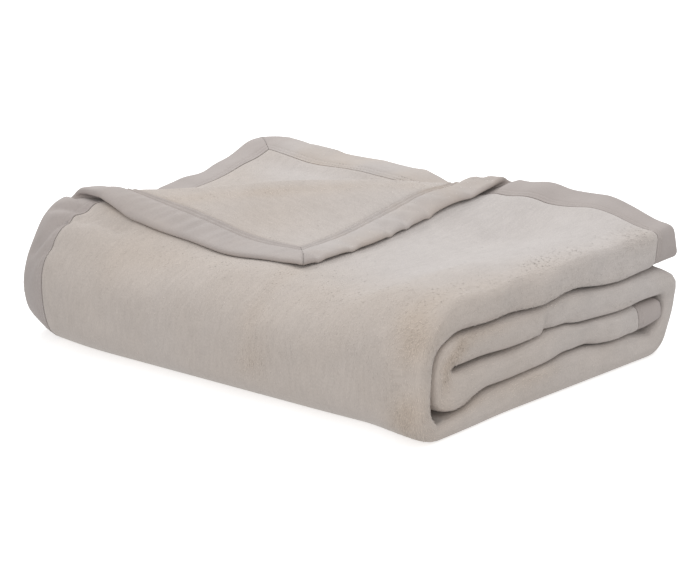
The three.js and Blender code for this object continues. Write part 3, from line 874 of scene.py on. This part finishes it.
def end_faces(ring):
    """Closes a tape's end: one face for each arm of its section."""
    nose, wall = len(OUTER_INSETS), len(WALL_INSETS)
    low_wall = 2 * nose + 1
    high_wall = low_wall + wall
    upper = [*range(nose + 1), *range(high_wall, high_wall + wall)]
    lower = [*range(nose, high_wall), high_wall]
    return [[ring[k] for k in upper], [ring[k] for k in lower]]


def face_outwards(piece):
    work = bmesh.new()
    work.from_mesh(piece.data)
    bmesh.ops.recalc_face_normals(work, faces=work.faces)
    if work.calc_volume(signed=True) < 0:
        bmesh.ops.reverse_faces(work, faces=work.faces)
    work.to_mesh(piece.data)
    work.free()


def make_tape(edge):
    rings = tape_rings(edge)
    pattern = FlatPoints()
    faces = []
    for one, other in zip(rings, rings[1:]):
        faces += pattern.faces([one[k - 1], one[k], other[k], other[k - 1]] for k in range(len(SECTION)))
    faces += [face[::-1] for face in pattern.faces(end_faces(rings[0]))]
    faces += pattern.faces(end_faces(rings[-1]))
    flat = np.array(pattern.points)
    piece = new_mesh("tape_" + edge, fold(flat[:, 0], flat[:, 1], flat[:, 2]), faces)
    store_flat_map(piece, flat[:, :2])
    face_outwards(piece)
    return piece, flat[:, :2]


tapes, tape_flat = {}, {}
for edge in EDGES:
    tapes[edge], tape_flat[edge] = make_tape(edge)
    print_triangles(tapes[edge])
face_outwards(panel)

# %% [markdown]
# ## Where the pile stands up, with painted shade and painted light
# On a bend the short pile opens. That happens along the right-hand shoulder, down the front corner
# and on the crest of the turned corner, and the lips of the creases at the right end and a crease
# down the front are marked too. There the colour is mixed warmer and darker, which is painted shade.
# On the top two wide patches are mixed paler and cooler, which is painted light where the top is lit
# most. We store two values per point, one for each. The colour reads both, and the locks of the pile
# will read the first.

# %% Bends that open the pile and get painted shade, and patches of painted light
# Painted shade: along these bends and the lips of the creases the colour is mixed warmer and darker.
# Columns: width in millimetres, amount, points of the line in its middle.
OPEN_BENDS_AND_SHADE = [
    (22, 0.7, [(232, -160, 118), (242, -60, 124), (244, 50, 126), (250, 150, 128)]),
    (24, 0.9, [(234, -176, 112), (248, -198, 84), (254, -205, 50), (252, -200, 18)]),
    (9, 1, [(266, 130, 92), (266, 40, 94), (264, -60, 92), (260, -130, 88), (257, -160, 64),
            (258, -162, 30)]),
    (6, 0.8, [(266, 130, 62), (266, 40, 64), (266, -60, 62), (262, -146, 62)]),
    (6, 0.8, [(264, 150, 27), (266, 40, 30), (264, -60, 28), (260, -140, 24)]),
    (14, 0.6, [(-205, -110, 130), (-90, 45, 134), (30, 196, 134)]),
    (50, 0.3, [(-150, -150, 116), (60, -150, 116), (160, -160, 114), (225, -170, 112)]),
    (20, 0.4, [(30, -115, 108), (52, -190, 80), (58, -203, 36)]),
]
# Painted light: on these patches of the top the colour is made paler and cooler, where the top is lit most.
PAINTED_LIGHT_PATCHES = [
    (95, 1, [(70, 150, 124), (110, 20, 112), (170, 60, 118), (190, 120, 124)]),
    (50, 0.6, [(-190, 150, 118), (-120, 120, 116)]),
]
PATCH_LENGTH = 60


def near_any(points, table):
    most = np.zeros(len(points))
    for width, amount, along in table:
        away, _ = near_line(points, along)
        most = np.maximum(most, amount * np.exp(-(away / width) ** 2))
    return most


def open_pile_and_shade(points):
    """From 0 where the pile lies flat to 1 where it stands open, which the colour also reads as painted
    shade. Points are in millimetres.
    """
    return np.clip(near_any(points, OPEN_BENDS_AND_SHADE) * (0.85 + 0.3 * uneven(points, PATCH_LENGTH, 21)), 0, 1)


def place_of(piece):
    """Places of a mesh's points, in millimetres."""
    places = np.zeros(len(piece.data.vertices) * 3)
    piece.data.vertices.foreach_get("co", places)
    return places.reshape(-1, 3) / MM


# Stores how open the pile is, which also carries painted shade, and the patches of painted light.
def store_nap_shade_and_light(piece):
    points = place_of(piece)
    standing = open_pile_and_shade(points)
    store(piece, "open_pile_and_shade", standing)
    store(piece, "painted_light_on_top", near_any(points, PAINTED_LIGHT_PATCHES))
    return standing


print("the pile stands open at", np.sum(store_nap_shade_and_light(panel) > 0.5), "points of the panel")

# %% [markdown]
# ## Materials
# Plush has no shine of its own, but its fibre tips catch light at a slant, which is what the sheen
# lobe is for. Its colour drifts between cool and warm at random. It is mixed warmer and darker on the
# bends as painted shade, and paler and cooler on patches of the top as painted light. So we mix three
# colours by wide noise in object space and by the stored values, and let fine noise on the sheet
# coordinates draw the streaks of the nap. The same noise drives the bump.

# %% Helpers for nodes


def set_inputs(tree, node, inputs):
    """Links what is given as a socket and sets every other value."""
    for name, value in inputs.items():
        if isinstance(value, bpy.types.NodeSocket):
            tree.links.new(value, node.inputs[name])
        else:
            node.inputs[name].default_value = value


def add_node(tree, kind, inputs=None, **settings):
    made = tree.nodes.new(kind)
    for name, value in settings.items():
        setattr(made, name, value)
    set_inputs(tree, made, inputs or {})
    return made


def new_material(name):
    material = bpy.data.materials.new(name)
    material.use_nodes = True
    return material, material.node_tree, material.node_tree.nodes["Principled BSDF"]


def srgb(*channels):
    """A colour as a picture shows it, as the linear values that a shader takes."""
    return (*(((c / 255 + 0.055) / 1.055) ** 2.4 for c in channels), 1)


# %% Numbers and noise in a tree


def math_node(tree, operation, a, b):
    return add_node(tree, "ShaderNodeMath", {0: a, 1: b}, operation=operation).outputs[0]


def weighted(tree, base, parts):
    """The base number plus each value times its weight."""
    total = base
    for value, weight in parts:
        total = math_node(tree, "ADD", total, math_node(tree, "MULTIPLY", value, weight))
    return total


def stored(tree, name):
    return add_node(tree, "ShaderNodeAttribute", attribute_name=name).outputs["Fac"]


def sheet_noise(tree, across, along, detail):
    """Noise on the flat sheet, with its own scale across the nap and along it."""
    flat = add_node(tree, "ShaderNodeAttribute", attribute_name="flat_sheet").outputs["Vector"]
    moved = add_node(tree, "ShaderNodeMapping", {"Vector": flat, "Scale": (across, along, 1)}).outputs[0]
    inputs = {"Vector": moved, "Scale": 1, "Detail": detail}
    return add_node(tree, "ShaderNodeTexNoise", inputs).outputs["Fac"]


def room_noise(tree, scale, detail, roughness=0.5):
    place = add_node(tree, "ShaderNodeTexCoord").outputs["Object"]
    inputs = {"Vector": place, "Scale": scale, "Detail": detail, "Roughness": roughness}
    return add_node(tree, "ShaderNodeTexNoise", inputs).outputs["Fac"]


def spread(tree, value, low, high):
    """Stretches a noise value, so that low becomes 0 and high becomes 1."""
    inputs = {"Value": value, "From Min": low, "From Max": high}
    return add_node(tree, "ShaderNodeMapRange", inputs).outputs[0]


# %% Colour and bump in a tree


def mix_colours(tree, factor, one, other):
    return add_node(tree, "ShaderNodeMix", {0: factor, 6: one, 7: other}, data_type="RGBA").outputs[2]


def brightness(tree, value, amount):
    """A factor around 1 from a noise value around one half."""
    centred = math_node(tree, "SUBTRACT", value, 0.5)
    return math_node(tree, "ADD", math_node(tree, "MULTIPLY", centred, 2 * amount), 1.0)


def tinted(tree, colour, factors):
    """The colour, made lighter or darker by each factor in turn."""
    total = factors[0]
    for factor in factors[1:]:
        total = math_node(tree, "MULTIPLY", total, factor)
    return scaled_vector(tree, colour, total)


def scaled_vector(tree, vector, scale):
    return add_node(tree, "ShaderNodeVectorMath", {0: vector, "Scale": scale}, operation="SCALE").outputs[0]


def bump(tree, height, strength, distance):
    inputs = {"Height": height, "Strength": strength, "Distance": distance}
    return add_node(tree, "ShaderNodeBump", inputs).outputs[0]


# %% The plush
PLUSH_COOL = srgb(195, 188, 184)
# The warm colour is random tone, and on the open bends it is painted shade.
PLUSH_WARM_AND_SHADE = srgb(191, 178, 166)
# The pale colour is painted light, on patches of the top.
PLUSH_PAINTED_LIGHT = srgb(203, 197, 194)
# The locks are painted lighter than the plush: painted light.
LOCK_PAINTED_LIGHT = 1.3
WARM_BASE = 0.3
WARM_BY_DRIFT = 0.25
PAINTED_SHADE_WHERE_OPEN = 0.55
COOL_WHERE_PAINTED_LIGHT = 0.5
PALE_WHERE_PAINTED_LIGHT = 0.7
GRAIN_HEIGHT = 0.8


def plush_material(name, painted_lightness):
    """The plush, or a lighter copy for its single locks: painted light, for the light that their fibres pass
    through.
    """
    material, tree, shader = new_material(name)
    painted_light = stored(tree, "painted_light_on_top")
    drift = spread(tree, room_noise(tree, 11, 3), 0.3, 0.7)
    patches = spread(tree, room_noise(tree, 30, 4, 0.6), 0.3, 0.7)
    streaks = sheet_noise(tree, 260, 70, 3)
    grain = sheet_noise(tree, 900, 520, 1)
    # Painted shade: the colour turns warmer and darker where the pile is open.
    warm_and_shade = weighted(tree, WARM_BASE, [
        (drift, WARM_BY_DRIFT), (stored(tree, "open_pile_and_shade"), PAINTED_SHADE_WHERE_OPEN), (painted_light, -COOL_WHERE_PAINTED_LIGHT),
    ])
    warm_and_shade = add_node(tree, "ShaderNodeClamp", {"Value": warm_and_shade}).outputs[0]
    colour = mix_colours(tree, warm_and_shade, PLUSH_COOL, PLUSH_WARM_AND_SHADE)
    # Painted light: the colour turns paler on the patches of the top.
    colour = mix_colours(tree, math_node(tree, "MULTIPLY", painted_light, PALE_WHERE_PAINTED_LIGHT), colour, PLUSH_PAINTED_LIGHT)
    shades = [brightness(tree, *row) for row in ((patches, 0.03), (streaks, 0.10), (grain, 0.13))]
    set_inputs(tree, shader, {
        "Base Color": tinted(tree, colour, [painted_lightness, *shades]),
        "Normal": bump(tree, weighted(tree, streaks, [(grain, GRAIN_HEIGHT)]), 0.5, 0.0009),
        "Roughness": 0.95,
        "Specular IOR Level": 0.15,
        "Sheen Weight": 0.32,
        "Sheen Roughness": 0.45,
        "Sheen Tint": (1.0, 0.97, 0.95, 1),
    })
    return material


plush = plush_material("plush", 1.0)
# The locks' copy is painted lighter, as painted light.
locks = plush_material("plush_locks_painted_light", LOCK_PAINTED_LIGHT)
panel.data.materials.append(plush)
print("plush:", len(plush.node_tree.nodes), "nodes")

# %% [markdown]
# The tape is a thin brushed knit. It is smoother than the plush, so it looks a little greyer, and its
# knit shows as a fine grain. Where the open pile has worked its way over the tape, it takes on the
# colour of the pile. That is so on the turned corner, most of all on its right-hand edge, and on the
# second ply at the back. On the turned corner that lighter colour is also painted light, as the tape
# there faces up into the light.

# %% The binding and its thread
BINDING = srgb(176, 167, 163)
THREAD = srgb(186, 178, 173)


def binding_material():
    material, tree, shader = new_material("binding")
    pile_colour = mix_colours(tree, spread(tree, room_noise(tree, 11, 3), 0.38, 0.7), PLUSH_COOL, PLUSH_WARM_AND_SHADE)
    # On the turned corner the lighter pile colour on the tape is partly painted light.
    colour = mix_colours(tree, stored(tree, "covered_and_lit"), BINDING, pile_colour)
    knit = sheet_noise(tree, 420, 420, 2)
    shades = [brightness(tree, knit, 0.06), brightness(tree, room_noise(tree, 45, 3), 0.08)]
    set_inputs(tree, shader, {
        "Base Color": tinted(tree, colour, shades),
        "Normal": bump(tree, knit, 0.35, 0.0004),
        "Roughness": 0.8,
        "Specular IOR Level": 0.25,
        "Sheen Weight": 0.15,
        "Sheen Roughness": 0.5,
    })
    return material


def thread_material():
    material, tree, shader = new_material("thread")
    set_inputs(tree, shader, {"Base Color": THREAD, "Roughness": 0.6})
    return material


def covered_and_lit_share(edge, flat):
    """How much of the tape's colour the pile hides, by the place on the flat sheet. On the turned corner this
    is partly painted light.
    """
    u, v = flat[:, 0], flat[:, 1]
    if edge == "outer_side":
        return 0.25 * ease(CORNER_V, CORNER_V - 60, v)
    if edge != "outer_end":
        return np.zeros(len(u))
    corner = 0.75 * ease(CORNER_U, CORNER_U - 40, u) * ease(4, 40, u)
    second_ply = 0.95 * ease(WIDTH - 20, WIDTH - 70, u) * ease(U_STARTS[6], U_STARTS[6] + 60, u)
    return np.maximum(corner, second_ply)


binding = binding_material()
thread = thread_material()
for edge, tape in tapes.items():
    tape.data.materials.append(binding)
    store(tape, "covered_and_lit", covered_and_lit_share(edge, tape_flat[edge]))
print("binding:", len(binding.node_tree.nodes), "nodes, thread:", len(thread.node_tree.nodes), "nodes")

# %% [markdown]
# ## Geometry nodes
# Stitches and pile are one small shape, repeated thousands of times along a path or over a surface.
# Geometry nodes do that from a mesh that holds only the places. The tree takes its sizes as inputs
# and ends in real geometry, so that we can turn the result into a plain mesh at once.

# %% Helpers for geometry nodes


def repeat_tree(name, sizes):
    """A tree with a geometry input and one named number for each size."""
    tree = bpy.data.node_groups.new(name, "GeometryNodeTree")
    tree.interface.new_socket("Geometry", in_out="INPUT", socket_type="NodeSocketGeometry")
    for size in sizes:
        tree.interface.new_socket(size, in_out="INPUT", socket_type="NodeSocketFloat")
    tree.interface.new_socket("Geometry", in_out="OUTPUT", socket_type="NodeSocketGeometry")
    return tree, tree.nodes.new("NodeGroupInput").outputs


def named(tree, name, kind):
    return add_node(tree, "GeometryNodeInputNamedAttribute", {"Name": name}, data_type=kind).outputs[0]


def turned_to(tree, primary, secondary, axes):
    """A rotation that lays the first axis along one vector and the second near another."""
    settings = {"primary_axis": axes[0], "secondary_axis": axes[1]}
    return add_node(tree, "FunctionNodeAxesToRotation", {0: primary, 1: secondary}, **settings).outputs[0]


def finish_tree(tree, points, shape, rotation, scale, material):
    """Puts the shape on each point, makes the copies real and gives them their material."""
    places = {"Points": points, "Instance": shape, "Rotation": rotation, "Scale": scale}
    placed = add_node(tree, "GeometryNodeInstanceOnPoints", places)
    real = add_node(tree, "GeometryNodeRealizeInstances", {0: placed.outputs[0]})
    dressed = add_node(tree, "GeometryNodeSetMaterial", {"Geometry": real.outputs[0], "Material": material})
    add_node(tree, "NodeGroupOutput", {0: dressed.outputs[0]})


def grow(base, tree, sizes, name):
    """Runs the tree on the base mesh and keeps the result as a plain mesh."""
    modifier = base.modifiers.new("repeat", "NODES")
    modifier.node_group = tree
    for item in tree.interface.items_tree:
        if item.in_out == "INPUT" and item.name in sizes:
            modifier[item.identifier] = float(sizes[item.name])
    graph = bpy.context.evaluated_depsgraph_get()
    mesh = bpy.data.meshes.new_from_object(base.evaluated_get(graph), depsgraph=graph)
    mesh.name = name
    piece = in_scene(name, mesh)
    base.modifiers.remove(modifier)
    bpy.data.objects.remove(base)
    print_triangles(piece)
    return piece


def unit(vectors):
    return vectors / np.maximum(np.linalg.norm(vectors, axis=-1, keepdims=True), 1e-9)


# %% [markdown]
# ## Two rows of stitches
# Two rows hold each tape down, on both faces of the blanket. The path of a row runs along the seam on
# the folded sheet, except round the tight roll of the corner, and each point of it knows which way
# the cloth faces there. The stitches are slender grains laid along the path, sunk a little into the
# groove that the thread pulls.

# %% Seam paths
PATH_STEP = 4.0
PATH_END = 1.0
STITCH_SUNK = 0.05
BESIDE_ROLL = 4


def seam_path(edge, inset, side):
    """Points along one row of stitches, the way the cloth faces at each, and which lie on the roll."""
    full = LENGTH if edge.endswith("side") else WIDTH
    along = np.linspace(inset + PATH_END, full - inset - PATH_END, round(full / PATH_STEP))
    inset_here = np.full_like(along, inset)
    half = tape_half(inset_here) - STITCH_SUNK
    half = half + puff(edge, inset_here, along, np.full_like(along, side))
    u, v = along_sheet(edge, inset_here, along)
    points = fold(u, v, side * half)
    outside = fold(u, v, side * (half + 1))
    past = past_diagonal(u, v)
    return points, unit(outside - points), (past > -BESIDE_ROLL) & (past < ROLL_LENGTH + BESIDE_ROLL)


def seam_paths():
    rows = [seam_path(edge, inset, side) for edge in EDGES for inset in SEAM_ROWS for side in (1, -1)]
    points, facing, rolled = (np.concatenate([row[k] for row in rows]) for k in range(3))
    ends = np.cumsum([len(row[0]) for row in rows]) - 1
    joined = np.setdiff1d(np.arange(len(points) - 1), ends)
    edges = [(int(k), int(k) + 1) for k in joined if not (rolled[k] or rolled[k + 1])]
    mesh = bpy.data.meshes.new("seam_paths")
    mesh.from_pydata(points.tolist(), edges, [])
    piece = in_scene("seam_paths", mesh)
    store(piece, "facing", facing)
    return piece


seams = seam_paths()
print("seam paths:", len(seams.data.vertices), "points")

# %% The stitches
STITCH_SIZES = {"Step": 4.2 * MM, "Half length": 1.5 * MM, "Half width": 0.36 * MM}


def stitch_tree():
    tree, given = repeat_tree("stitches", STITCH_SIZES)
    curve = add_node(tree, "GeometryNodeMeshToCurve", {"Mesh": given["Geometry"]}).outputs[0]
    even = {"Curve": curve, "Length": given["Step"]}
    places = add_node(tree, "GeometryNodeResampleCurve", even, mode="LENGTH").outputs[0]
    grain = add_node(tree, "GeometryNodeMeshIcoSphere", {"Radius": 1.0, "Subdivisions": 1}).outputs[0]
    tangent = add_node(tree, "GeometryNodeInputTangent").outputs[0]
    turn = turned_to(tree, tangent, named(tree, "facing", "FLOAT_VECTOR"), "XZ")
    shape = {0: given["Half length"], 1: given["Half width"], 2: given["Half width"]}
    shape = add_node(tree, "ShaderNodeCombineXYZ", shape).outputs[0]
    finish_tree(tree, places, grain, turn, shape, thread)
    return tree


stitches = grow(seams, stitch_tree(), STITCH_SIZES, "stitches")

# %% [markdown]
# ## The pile
# Only the open surface needs pile that stands out, because between two layers it is pressed flat. So
# we look out from the middle of each face in five directions, and keep the faces that see the sky.
# The locks lean along the sheet. Most of them stand where a bend has opened the pile, and hardly any
# where the cloth lies flat or looks up. A real lock is many fibres that pass light on to each other,
# so ours get painted light, a lighter copy of the plush material. They are shaded like the cloth below
# them and cast no shadow.

# %% Faces that lie open
TILT = math.radians(55)
SKY_START = 0.0006
SKY_REACH = 0.25
PILE_FOOT = 0.006


def all_faces():
    points, polygons = [], []
    for piece in (panel, *tapes.values()):
        first = len(points)
        points += [vertex.co for vertex in piece.data.vertices]
        polygons += [[first + k for k in face.vertices] for face in piece.data.polygons]
    print("faces that can hide the sky:", len(polygons))
    return BVHTree.FromPolygons(points, polygons)


def sky_share(centre, normal):
    """Share of five directions, around the way the face looks, in which nothing is near."""
    side = normal.orthogonal().normalized()
    other = normal.cross(side)
    ways = [normal]
    ways += [normal * math.cos(TILT) + way * math.sin(TILT) for way in (side, -side, other, -other)]
    start = centre + normal * SKY_START
    return sum(cloth_tree.ray_cast(start, way, SKY_REACH)[0] is None for way in ways) / len(ways)


def open_faces(piece, keep):
    """The kept faces that see the sky, and for each point of the piece the share that it sees."""
    chosen, seen = [], np.zeros(len(piece.data.vertices))
    for face in piece.data.polygons:
        if face.center.z < PILE_FOOT or not keep(face.center):
            continue
        share = sky_share(face.center, face.normal)
        if share > 0:
            chosen.append(list(face.vertices))
            for k in face.vertices:
                seen[k] = max(seen[k], share)
    return chosen, seen


cloth_tree = all_faces()

# %% Where the locks stand
FLAT_DENSITY = 0.02
LYING = 0.75
FULL_SKY = 0.6


def pile_base(name, cloth, keep, cover):
    """The open faces of a piece as a mesh of its own, with the way of the nap and its density."""
    piece, flat, side = cloth
    chosen, seen = open_faces(piece, keep)
    used = np.unique(np.concatenate(chosen))
    renumber = {old: new for new, old in enumerate(used)}
    places = place_of(piece)[used] * MM
    base = new_mesh(name, places, [[renumber[k] for k in face] for face in chosen])
    u, v, t = flat[used, 0], flat[used, 1], side[used] * PLUSH / 2
    store(base, "nap_way", unit(fold(u, v + 1.0, t) - fold(u, v, t)))
    store_nap_shade_and_light(base)
    upward = np.array([piece.data.vertices[k].normal.z for k in used])
    standing = open_pile_and_shade(places / MM) * (1 - LYING * ease(0.5, 0.95, upward))
    share = ease(0, FULL_SKY, seen[used]) * (FLAT_DENSITY + (1 - FLAT_DENSITY) * standing)
    store(base, "density", share * np.broadcast_to(cover, len(flat))[used])
    return base


# %% The tree that grows the locks
PILE_SIZES = {"Density": 320000, "Length": 1.9 * MM, "Width": 0.26 * MM, "Lean": 4.5}
UPRIGHT_WHERE_OPEN = 0.6
LARGER_WHERE_OPEN = 0.6
LOOSE = 0.5
SHORTEST, LONGEST = 0.65, 1.3


def lock_shape(tree, given):
    inputs = {"Vertices": 3, "Radius Top": 0, "Radius Bottom": given["Width"], "Depth": given["Length"]}
    return add_node(tree, "GeometryNodeMeshCone", inputs, fill_type="NGON").outputs["Mesh"]


def add_vectors(tree, a, b):
    return add_node(tree, "ShaderNodeVectorMath", {0: a, 1: b}, operation="ADD").outputs[0]


def lock_turn(tree, given, normal, standing, seed):
    """Leans along the nap, less where the pile is open, and a little at random."""
    less = math_node(tree, "SUBTRACT", 1.0, math_node(tree, "MULTIPLY", standing, UPRIGHT_WHERE_OPEN))
    lean = math_node(tree, "MULTIPLY", given["Lean"], less)
    along = scaled_vector(tree, named(tree, "nap_way", "FLOAT_VECTOR"), lean)
    limits = {"Min": (-LOOSE,) * 3, "Max": (LOOSE,) * 3, "Seed": seed}
    chance = add_node(tree, "FunctionNodeRandomValue", limits, data_type="FLOAT_VECTOR").outputs[0]
    return turned_to(tree, add_vectors(tree, add_vectors(tree, normal, along), chance), chance, "ZX")


def lock_size(tree, standing, seed):
    """Random size, larger where the pile is open."""
    limits = {2: SHORTEST, 3: LONGEST, "Seed": seed}
    size = add_node(tree, "FunctionNodeRandomValue", limits, data_type="FLOAT").outputs[1]
    return math_node(tree, "MULTIPLY", size, weighted(tree, 1.0, [(standing, LARGER_WHERE_OPEN)]))


def pile_tree(seed):
    tree, given = repeat_tree("pile", PILE_SIZES)
    density = math_node(tree, "MULTIPLY", given["Density"], named(tree, "density", "FLOAT"))
    spots = {"Mesh": given["Geometry"], "Density": density, "Seed": seed}
    spots = add_node(tree, "GeometryNodeDistributePointsOnFaces", spots, distribute_method="RANDOM")
    normal = spots.outputs["Normal"]
    under = {"Geometry": spots.outputs["Points"], "Name": "under", "Value": normal}
    kinds = {"data_type": "FLOAT_VECTOR", "domain": "POINT"}
    marked = add_node(tree, "GeometryNodeStoreNamedAttribute", under, **kinds)
    standing = named(tree, "open_pile_and_shade", "FLOAT")
    turn = lock_turn(tree, given, normal, standing, seed + 1)
    size = lock_size(tree, standing, seed + 2)
    finish_tree(tree, marked.outputs[0], lock_shape(tree, given), turn, size, locks)
    return tree


# %% The locks, patch by patch
# The top begins at a height of TOP_FROM, and the tape's pile ends at an x of CORNER_TO, in metres.
CLOTH_SHARE = 0.85
TOP_FROM = 0.1
CORNER_TO = 0.045
BACK_COVER = 0.6


def shade_like_cloth(tufts):
    """Lets the locks catch light much as the cloth below them does, as real fibres do together."""
    mesh = tufts.data
    under, own = np.zeros((2, len(mesh.vertices) * 3), np.float32)
    mesh.attributes["under"].data.foreach_get("vector", under)
    mesh.vertex_normals.foreach_get("vector", own)
    mixed = CLOTH_SHARE * unit(under.reshape(-1, 3)) + (1 - CLOTH_SHARE) * own.reshape(-1, 3)
    mesh.normals_split_custom_set_from_vertices(unit(mixed).tolist())


def grow_pile(name, cloth, keep, cover, seed):
    tufts = grow(pile_base(name + "_places", cloth, keep, cover), pile_tree(seed), PILE_SIZES, name)
    shade_like_cloth(tufts)
    tufts.visible_shadow = False
    return tufts


on_panel = (panel, panel_flat, panel_side)
end_flat = tape_flat["outer_end"]
on_tape = (tapes["outer_end"], end_flat, np.zeros(len(end_flat)))
pile = [
    grow_pile("pile_top", on_panel, lambda at: at.z > TOP_FROM, 1, 31),
    grow_pile("pile_front", on_panel, lambda at: at.z <= TOP_FROM and at.y < 0, 1, 37),
    grow_pile("pile_back", on_panel, lambda at: at.z <= TOP_FROM and at.y >= 0, BACK_COVER, 41),
    grow_pile("pile_on_tape", on_tape, lambda at: at.x < CORNER_TO, covered_and_lit_share("outer_end", end_flat), 43),
]

# %% [markdown]
# ## Floor, light and camera
# The photo shows the blanket on pure white, in soft light with hardly a shadow. A floor that glows a
# little stays white, and it is hidden from diffuse rays, so that it doesn't light the cloth from
# below. A white world fills in everywhere. Three square lights, overhead, behind on the left and in
# front on the right, shape the folds. The camera stands in front on the right with a long lens.

# %% The floor
FLOOR_HALF = 12.0
FLOOR_GLOW = 0.5


def make_floor():
    mesh = bpy.data.meshes.new("floor")
    corners = [(x * FLOOR_HALF, y * FLOOR_HALF, 0) for x, y in ((-1, -1), (1, -1), (1, 1), (-1, 1))]
    mesh.from_pydata(corners, [], [(0, 1, 2, 3)])
    floor = in_scene("floor", mesh)
    material, tree, shader = new_material("floor_white")
    set_inputs(tree, shader, {
        "Base Color": (0.9, 0.9, 0.9, 1),
        "Roughness": 1.0,
        "Emission Color": (1, 1, 1, 1),
        "Emission Strength": FLOOR_GLOW,
    })
    mesh.materials.append(material)
    floor.visible_diffuse = False
    return floor


print("stage:", make_floor().name)

# %% Lights
# Columns: name, place, side of the square in metres, power.
LIGHTS = [
    ("overhead", (0.35, 0.5, 2.3), 2.0, 11),
    ("side", (-1.7, 0.9, 1.4), 0.9, 15),
    ("front", (1.5, -2.3, 1.1), 1.6, 18.5),
]
WORLD_STRENGTH = 0.66


def look_along(thing, way):
    thing.rotation_euler = way.to_track_quat("-Z", "Y").to_euler()


def add_light(name, at, size, power):
    lamp = bpy.data.lights.new(name, "AREA")
    lamp.shape = "SQUARE"
    lamp.size = size
    lamp.energy = power
    light = in_scene(name, lamp)
    light.location = at
    look_along(light, -Vector(at))


for row in LIGHTS:
    add_light(*row)
world = bpy.data.worlds.new("studio")
bpy.context.scene.world = world
world.use_nodes = True
background = world.node_tree.nodes["Background"]
set_inputs(world.node_tree, background, {"Color": (1, 1, 1, 1), "Strength": WORLD_STRENGTH})
print("lights:", ", ".join(row[0] for row in LIGHTS), "and the world")

# %% The camera
CAMERA_AZIMUTH = math.radians(40.570)
CAMERA_ELEVATION = math.radians(16.137)
CAMERA_DISTANCE = 3.1648
CAMERA_TARGET = Vector((0.01308, -0.00638, 0.060))
SENSOR_WIDTH = 36.0
FOCAL_LENGTH = 164.57


def make_camera():
    camera = in_scene("camera", bpy.data.cameras.new("camera"))
    camera.data.sensor_width = SENSOR_WIDTH
    camera.data.lens = FOCAL_LENGTH
    level, up = math.cos(CAMERA_ELEVATION), math.sin(CAMERA_ELEVATION)
    way = Vector((math.sin(CAMERA_AZIMUTH) * level, -math.cos(CAMERA_AZIMUTH) * level, up))
    camera.location = CAMERA_TARGET + way * CAMERA_DISTANCE
    look_along(camera, -way)
    bpy.context.scene.camera = camera
    print("camera at", [round(value, 3) for value in camera.location])


make_camera()
bpy.context.scene.view_settings.view_transform = "Standard"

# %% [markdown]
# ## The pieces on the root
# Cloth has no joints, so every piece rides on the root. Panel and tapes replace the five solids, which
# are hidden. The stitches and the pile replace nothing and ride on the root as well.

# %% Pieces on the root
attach(panel, "root")
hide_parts("plush_panel")
for edge, tape in tapes.items():
    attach(tape, "root")
    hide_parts("binding_" + edge)
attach(stitches, "root")
for tufts in pile:
    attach(tufts, "root")
